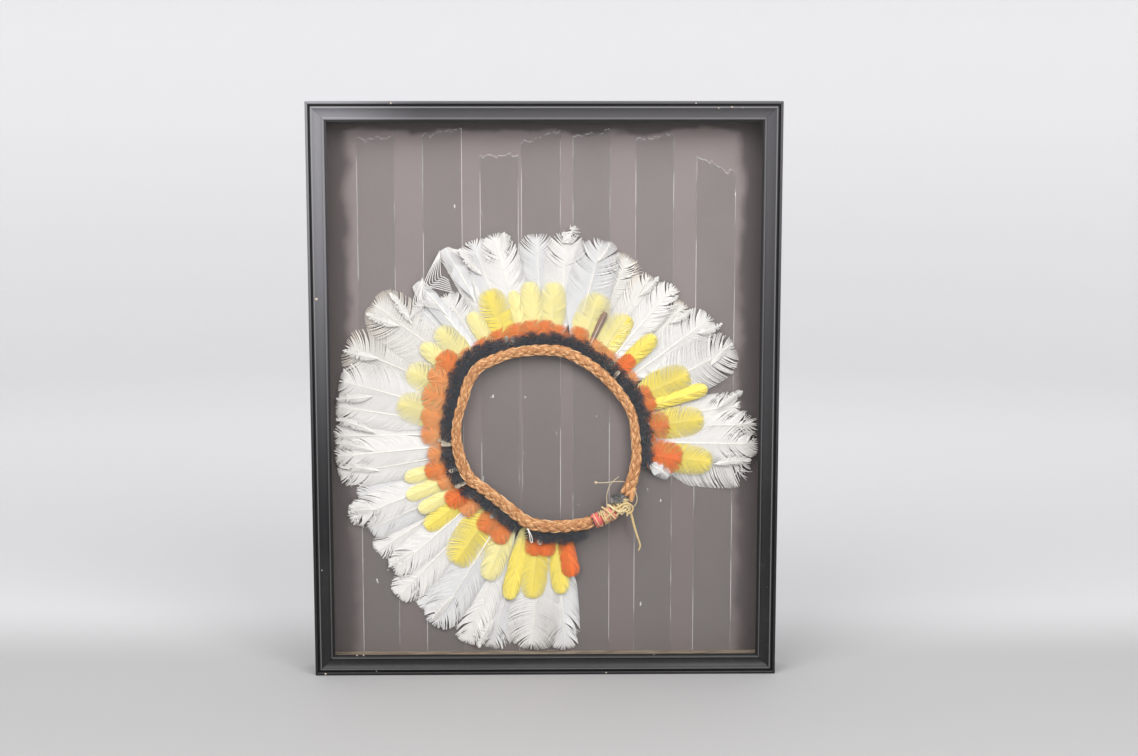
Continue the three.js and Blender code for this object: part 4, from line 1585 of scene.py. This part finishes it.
SPINE_STEP = 0.5
KNOT_LOOPS: tuple[tuple[Point, ...], ...] = (
    (
        (78.5, -7.5, 176), (80, -9.2, 182), (84, -9.8, 186.3), (88.8, -9.8, 187.3), (93, -9, 185),
        (94.8, -8, 181), (93, -7.4, 176.8), (88.6, -7.4, 175.4),
    ),
    (
        (84, -8.2, 184.6), (87.2, -8.6, 185.4), (90.6, -8.4, 184.2), (92, -7.8, 181.2), (90, -7.4, 178.4),
        (86.4, -7.6, 178), (84.4, -8, 180.4), (85, -8.4, 183.4),
    ),
    ((76, -7.5, 172), (80, -9, 177), (83, -9.4, 181), (86, -9, 183.8), (89, -8.2, 182.5), (90.5, -7, 179)),
    ((82, -6.2, 174), (85, -7.2, 177), (87.4, -7.4, 178), (89, -6.5, 175.5), (88.6, -6, 172.4)),
    ((66, -9, 186), (70, -9.8, 184.5), (74, -10, 181), (79, -9.6, 178.5), (84, -8.6, 178.5), (88, -7, 181)),
    ((64, -8.6, 168), (68, -10, 173), (73, -10.4, 178), (77, -10, 182), (82, -9.4, 185.5)),
    ((61, -8, 183), (66, -10, 180), (71, -10.4, 175), (76, -9.4, 170)),
)


@dataclass(frozen=True)
class StrandLoops:
    """Barbs that hang off a folded feather in long loops, from its foot round to its tip."""

    foot: Pair  # angle and radius
    bend: Pair
    tip: Pair
    count: int = 7
    depth: float = 4.6

    def build(self, name: str, finish: Material) -> None:
        """Make the strands, fanned between the bend and the straight line."""
        strands = []
        for i in range(self.count):
            part, depth = i / (self.count - 1), self.depth + 0.15 * i
            foot, bend, tip = (RING.point(*place, depth) for place in (self.foot, self.bend, self.tip))
            bend = bend.lerp((foot + tip) / 2, 0.75 * part)
            foot = foot.lerp(tip, 0.28 * part)
            corners = [foot, foot.lerp(bend, 0.6), bend, tip]
            route = smooth_route([tuple(corner) for corner in corners], 2.5)
            strands.append(tube(f"{name}_{i}", finish, route, 0.4, 4, 0.5))
        piece = joined(name, strands)
        number_on(piece.data, "along", [0.5] * len(piece.data.vertices))
        fitted(piece, "white_feather")


STRAND_LOOPS = (
    StrandLoops((321, 182), (316, 205), (323, 219)),
    StrandLoops((328, 188), (322, 212), (331, 233)),
    StrandLoops((337, 196), (339.5, 214), (333, 232), 5),
    StrandLoops((311, 196), (317.5, 196), (321, 212), 5),
)


def lump(
    name: str, finish: Material, middle: Point, radius: float, rough: float = 0.35, fine: int = 2
) -> Piece:
    """Return a small lumpy ball, such as a knot.

    Args:
        name: Its name.
        finish: Its material.
        middle: Its middle, in millimetres.
        radius: Its radius.
        rough: How far the lumps stand out, as a share of the radius.
        fine: How often the ball is subdivided.

    Returns:
        The finished object.
    """
    mesh = bpy.data.meshes.new(name)
    work = bmesh.new()
    bmesh.ops.create_icosphere(work, subdivisions=fine, radius=radius * MM)
    for vertex in work.verts:
        vertex.co *= 1 + rough * noise.noise(vertex.co / MM * 1.7 / radius ** 0.5)
        vertex.co += Vector(middle) * MM
    work.to_mesh(mesh)
    work.free()
    number_on(mesh, "shade", [0.6] * len(mesh.vertices))
    return placed(name, mesh, finish)


# ---------------------------------------------------------------- display frame
@dataclass(frozen=True)
class TapeStrip:
    """One strip of clear tape: its left and right edges and the heights of its torn top's ends."""

    left: float
    right: float
    top_left: float
    top_right: float


@dataclass
class DisplayCase:
    """Rails, glass, spacers and backing board, with the tape strips laid on the board."""

    sight: float = 21.3  # the moulding's width, up to the glass that shows
    thickness: float = 0.15
    columns: int = 44
    torn_band: float = 1.6
    strips: tuple[TapeStrip, ...] = (
        TapeStrip(-200, -160, 578, 580), TapeStrip(-130, -88, 581, 590), TapeStrip(-69, -28, 560, 562),
        TapeStrip(-25, 17, 574, 588), TapeStrip(30, 70, 581, 587), TapeStrip(97, 138, 577, 584),
        TapeStrip(162, 204, 560, 541),
    )

    def build(self) -> None:
        """Dress the CAD pieces and lay the tape."""
        half_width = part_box("rail_bottom")[1][0] / MM
        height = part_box("rail_top")[1][2] / MM
        paint, wood = FramePaint().build(), RawWood().build()
        for side in ("bottom", "right", "top", "left"):
            dress(f"rail_{side}", paint)
            dress(f"spacer_{side}", wood)
        dress("glass", ClearGlass().build())
        dress("backing_board", BackingPaper().build(half_width - self.sight, height - self.sight))
        self.lay_tape()
        log.info("display frame: rails, glass, spacers, board and %d strips of tape", len(self.strips))

    def torn_top(self, number: int, strip: TapeStrip) -> list[float]:
        """Return the heights of a strip's torn top from left to right."""
        luck = random.Random(70 + number)
        tops = []
        for k in range(self.columns + 1):
            part = k / self.columns
            level = strip.top_left + part * (strip.top_right - strip.top_left)
            tear = 4.5 * noise.noise(Vector((part * 6, number, 0)))
            tear += 3.0 * noise.noise(Vector((part * 17, number, 3)))
            tops.append(level + tear + luck.uniform(-0.5, 0.5))
        return tops

    def lay_tape(self) -> None:
        """Lay each strip on the board, from its torn top down to the lower spacer."""
        finish = ClearTape().build()
        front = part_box("backing_board")[0][1] / MM - 0.05
        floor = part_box("spacer_bottom")[1][2] / MM + 0.3
        for i, strip in enumerate(self.strips):
            verts, across, torn = [], [], []
            for y in (front - self.thickness, front):
                for k, top in enumerate(self.torn_top(i, strip)):
                    part = k / self.columns
                    x = strip.left + part * (strip.right - strip.left)
                    for z, ragged in ((floor, 0.0), (top - self.torn_band, 0.0), (top, 1.0)):
                        verts.append(metres((x, y, z)))
                        across.append(abs(2 * part - 1))
                        torn.append(ragged)
            mesh = plate_mesh(f"tape_{i + 1}", verts, self.columns + 1, 3)
            number_on(mesh, "across", across)
            number_on(mesh, "torn", torn)
            fitted(placed(f"tape_strip_{i + 1}", mesh, finish), "tape")


def plate_mesh(name: str, verts: list[Point], columns: int, rows: int) -> Mesh:
    """Return a closed plate.

    Args:
        name: The mesh's name.
        verts: The front grid's points, column by column, and then the back grid's, in metres.
        columns: Points from side to side.
        rows: Points from bottom to top.

    Returns:
        The mesh, with its faces outward.
    """
    layer = columns * rows
    faces = []
    for k in range(columns - 1):
        for r in range(rows - 1):
            a, b = k * rows + r, (k + 1) * rows + r
            faces.append([a, b, b + 1, a + 1])
            faces.append([layer + a + 1, layer + b + 1, layer + b, layer + a])
    rim = [k * rows for k in range(columns)] + [(columns - 1) * rows + r for r in range(1, rows)]
    rim += [k * rows + rows - 1 for k in range(columns - 2, -1, -1)] + list(range(rows - 2, 0, -1))
    for a, b in zip(rim, rim[1:] + rim[:1]):
        faces.append([b, a, layer + a, layer + b])
    mesh = bpy.data.meshes.new(name)
    mesh.from_pydata(verts, [], faces)
    face_outward(mesh, smooth=False)
    return mesh


def dress(node: str, finish: Material) -> None:
    """Give a CAD node its finish."""
    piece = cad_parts[node]
    piece.data.materials.clear()
    piece.data.materials.append(finish)


# ---------------------------------------------------------------- camera, light and floor
@dataclass
class Studio:
    """A pale floor and backdrop with painted light and shade, soft light and the camera."""

    camera_place: Point = (-4.9, -2094.9, 635.4)
    pitch: float = 8.48
    yaw: float = 0.84
    lens: float = 62.3
    # Painted light and shade: these colours make the floor darker near the frame, lighter further off and the
    # wall lighter still.
    floor_colour: Colour = (0.375, 0.37, 0.37)
    near_band: Pair = (10.0, 280.0)
    far_band: Pair = (350.0, 1600.0)
    wall_heights: Pair = (0.0, 800.0)
    near_colour: Colour = (0.55, 0.545, 0.55)
    far_colour: Colour = (0.68, 0.675, 0.68)
    wall_colour: Colour = (0.81, 0.805, 0.81)
    wall_at: float = 3400.0
    wall_top: float = 2000.0
    sweep: float = 900.0
    facets: int = 64
    sunk: float = 0.2  # how far the floor lies under the frame
    lamps: tuple[tuple[str, Point, Point, float, float], ...] = (  # name, place, target, size, watts
        ("key", (-900, -1500, 2100), (0, 0, 300), 1400, 36.0),
        ("card", (950, -1500, 1000), (-200, 0, 500), 500, 6.0),
        ("fill", (900, -1750, 1700), (0, 0, 300), 1300, 27.0),
    )

    def build_camera(self) -> None:
        """Place the camera."""
        data = bpy.data.cameras.new("camera")
        data.lens = self.lens
        data.sensor_width = 36.0
        camera = bpy.data.objects.new("camera", data)
        camera.location = Vector(self.camera_place) * MM
        camera.rotation_euler = (math.radians(90 - self.pitch), 0, -math.radians(self.yaw))
        bpy.context.scene.collection.objects.link(camera)
        bpy.context.scene.camera = camera

    def build_floor(self) -> None:
        """Make the round floor, which sweeps up into a low wall all round."""
        flat = self.wall_at - self.sweep
        section = [(0.25 * flat, 0.0), (0.6 * flat, 0.0), (flat, 0.0)]
        for turn in (math.radians(15 * k) for k in range(1, 7)):
            section.append((flat + self.sweep * math.sin(turn), self.sweep * (1 - math.cos(turn))))
        section.append((self.wall_at, self.wall_top))
        verts, faces = [metres((0, 0, -self.sunk))], []
        for radius, z in section:
            for k in range(self.facets):
                turn = math.tau * k / self.facets
                verts.append(metres((radius * math.cos(turn), radius * math.sin(turn), z - self.sunk)))
        for k in range(self.facets):
            after = (k + 1) % self.facets
            faces.append([0, 1 + k, 1 + after])
            for i in range(len(section) - 1):
                first = 1 + i * self.facets
                faces.append([first + k, first + self.facets + k, first + self.facets + after, first + after])
        mesh = bpy.data.meshes.new("floor")
        mesh.from_pydata(verts, [], faces)
        for polygon in mesh.polygons:
            polygon.use_smooth = True
        coat = Shader("floor", 0.7, Specular_IOR_Level=0.2)
        split = coat.node("ShaderNodeSeparateXYZ", {0: coat.place}).outputs
        # Painted light and shade: darker near the frame, lighter further back and up the wall.
        colour = coat.mix(coat.rise(split["Y"], self.near_band), self.floor_colour, self.near_colour)
        colour = coat.mix(coat.rise(split["Y"], self.far_band), colour, self.far_colour)
        high = coat.rise(split["Z"], self.wall_heights)
        coat.link("Base Color", coat.mix(high, colour, self.wall_colour))
        placed("floor", mesh, coat.material)

    def build_lights(self) -> None:
        """Hang the soft boxes and fill the rest with pale light."""
        for lamp in self.lamps:
            self.area(*lamp)
        world = bpy.data.worlds.new("studio")
        world.use_nodes = True
        sky = world.node_tree.nodes["Background"].inputs
        sky["Color"].default_value = (0.98, 0.985, 1.0, 1.0)
        sky["Strength"].default_value = 1.0
        bpy.context.scene.world = world

    def area(self, name: str, place: Point, target: Point, size: float, power: float) -> None:
        """Add a soft box that faces a point."""
        data = bpy.data.lights.new(name, "AREA")
        data.size = size * MM
        data.energy = power
        lamp = bpy.data.objects.new(name, data)
        lamp.location = Vector(place) * MM
        lamp.rotation_euler = (Vector(target) - Vector(place)).to_track_quat("-Z", "Y").to_euler()
        bpy.context.scene.collection.objects.link(lamp)


def main() -> None:
    """Build everything in order."""
    logging.basicConfig(level=logging.INFO, format="%(name)s: %(message)s")
    bpy.context.scene.view_settings.view_transform = "Standard"
    studio = Studio()
    studio.build_camera()
    Tie().build()
    Headband().build(StrandTree())
    plumage = Plumage()
    WhiteFeathers().build(plumage)
    LooseFeathers().build(plumage)
    YELLOW_ROW.build(plumage)
    ORANGE_ROW.build(plumage)
    BlackDown().build(plumage)
    DisplayCase().build()
    studio.build_floor()
    studio.build_lights()
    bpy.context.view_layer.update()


if __name__ == "__main__":
    main()
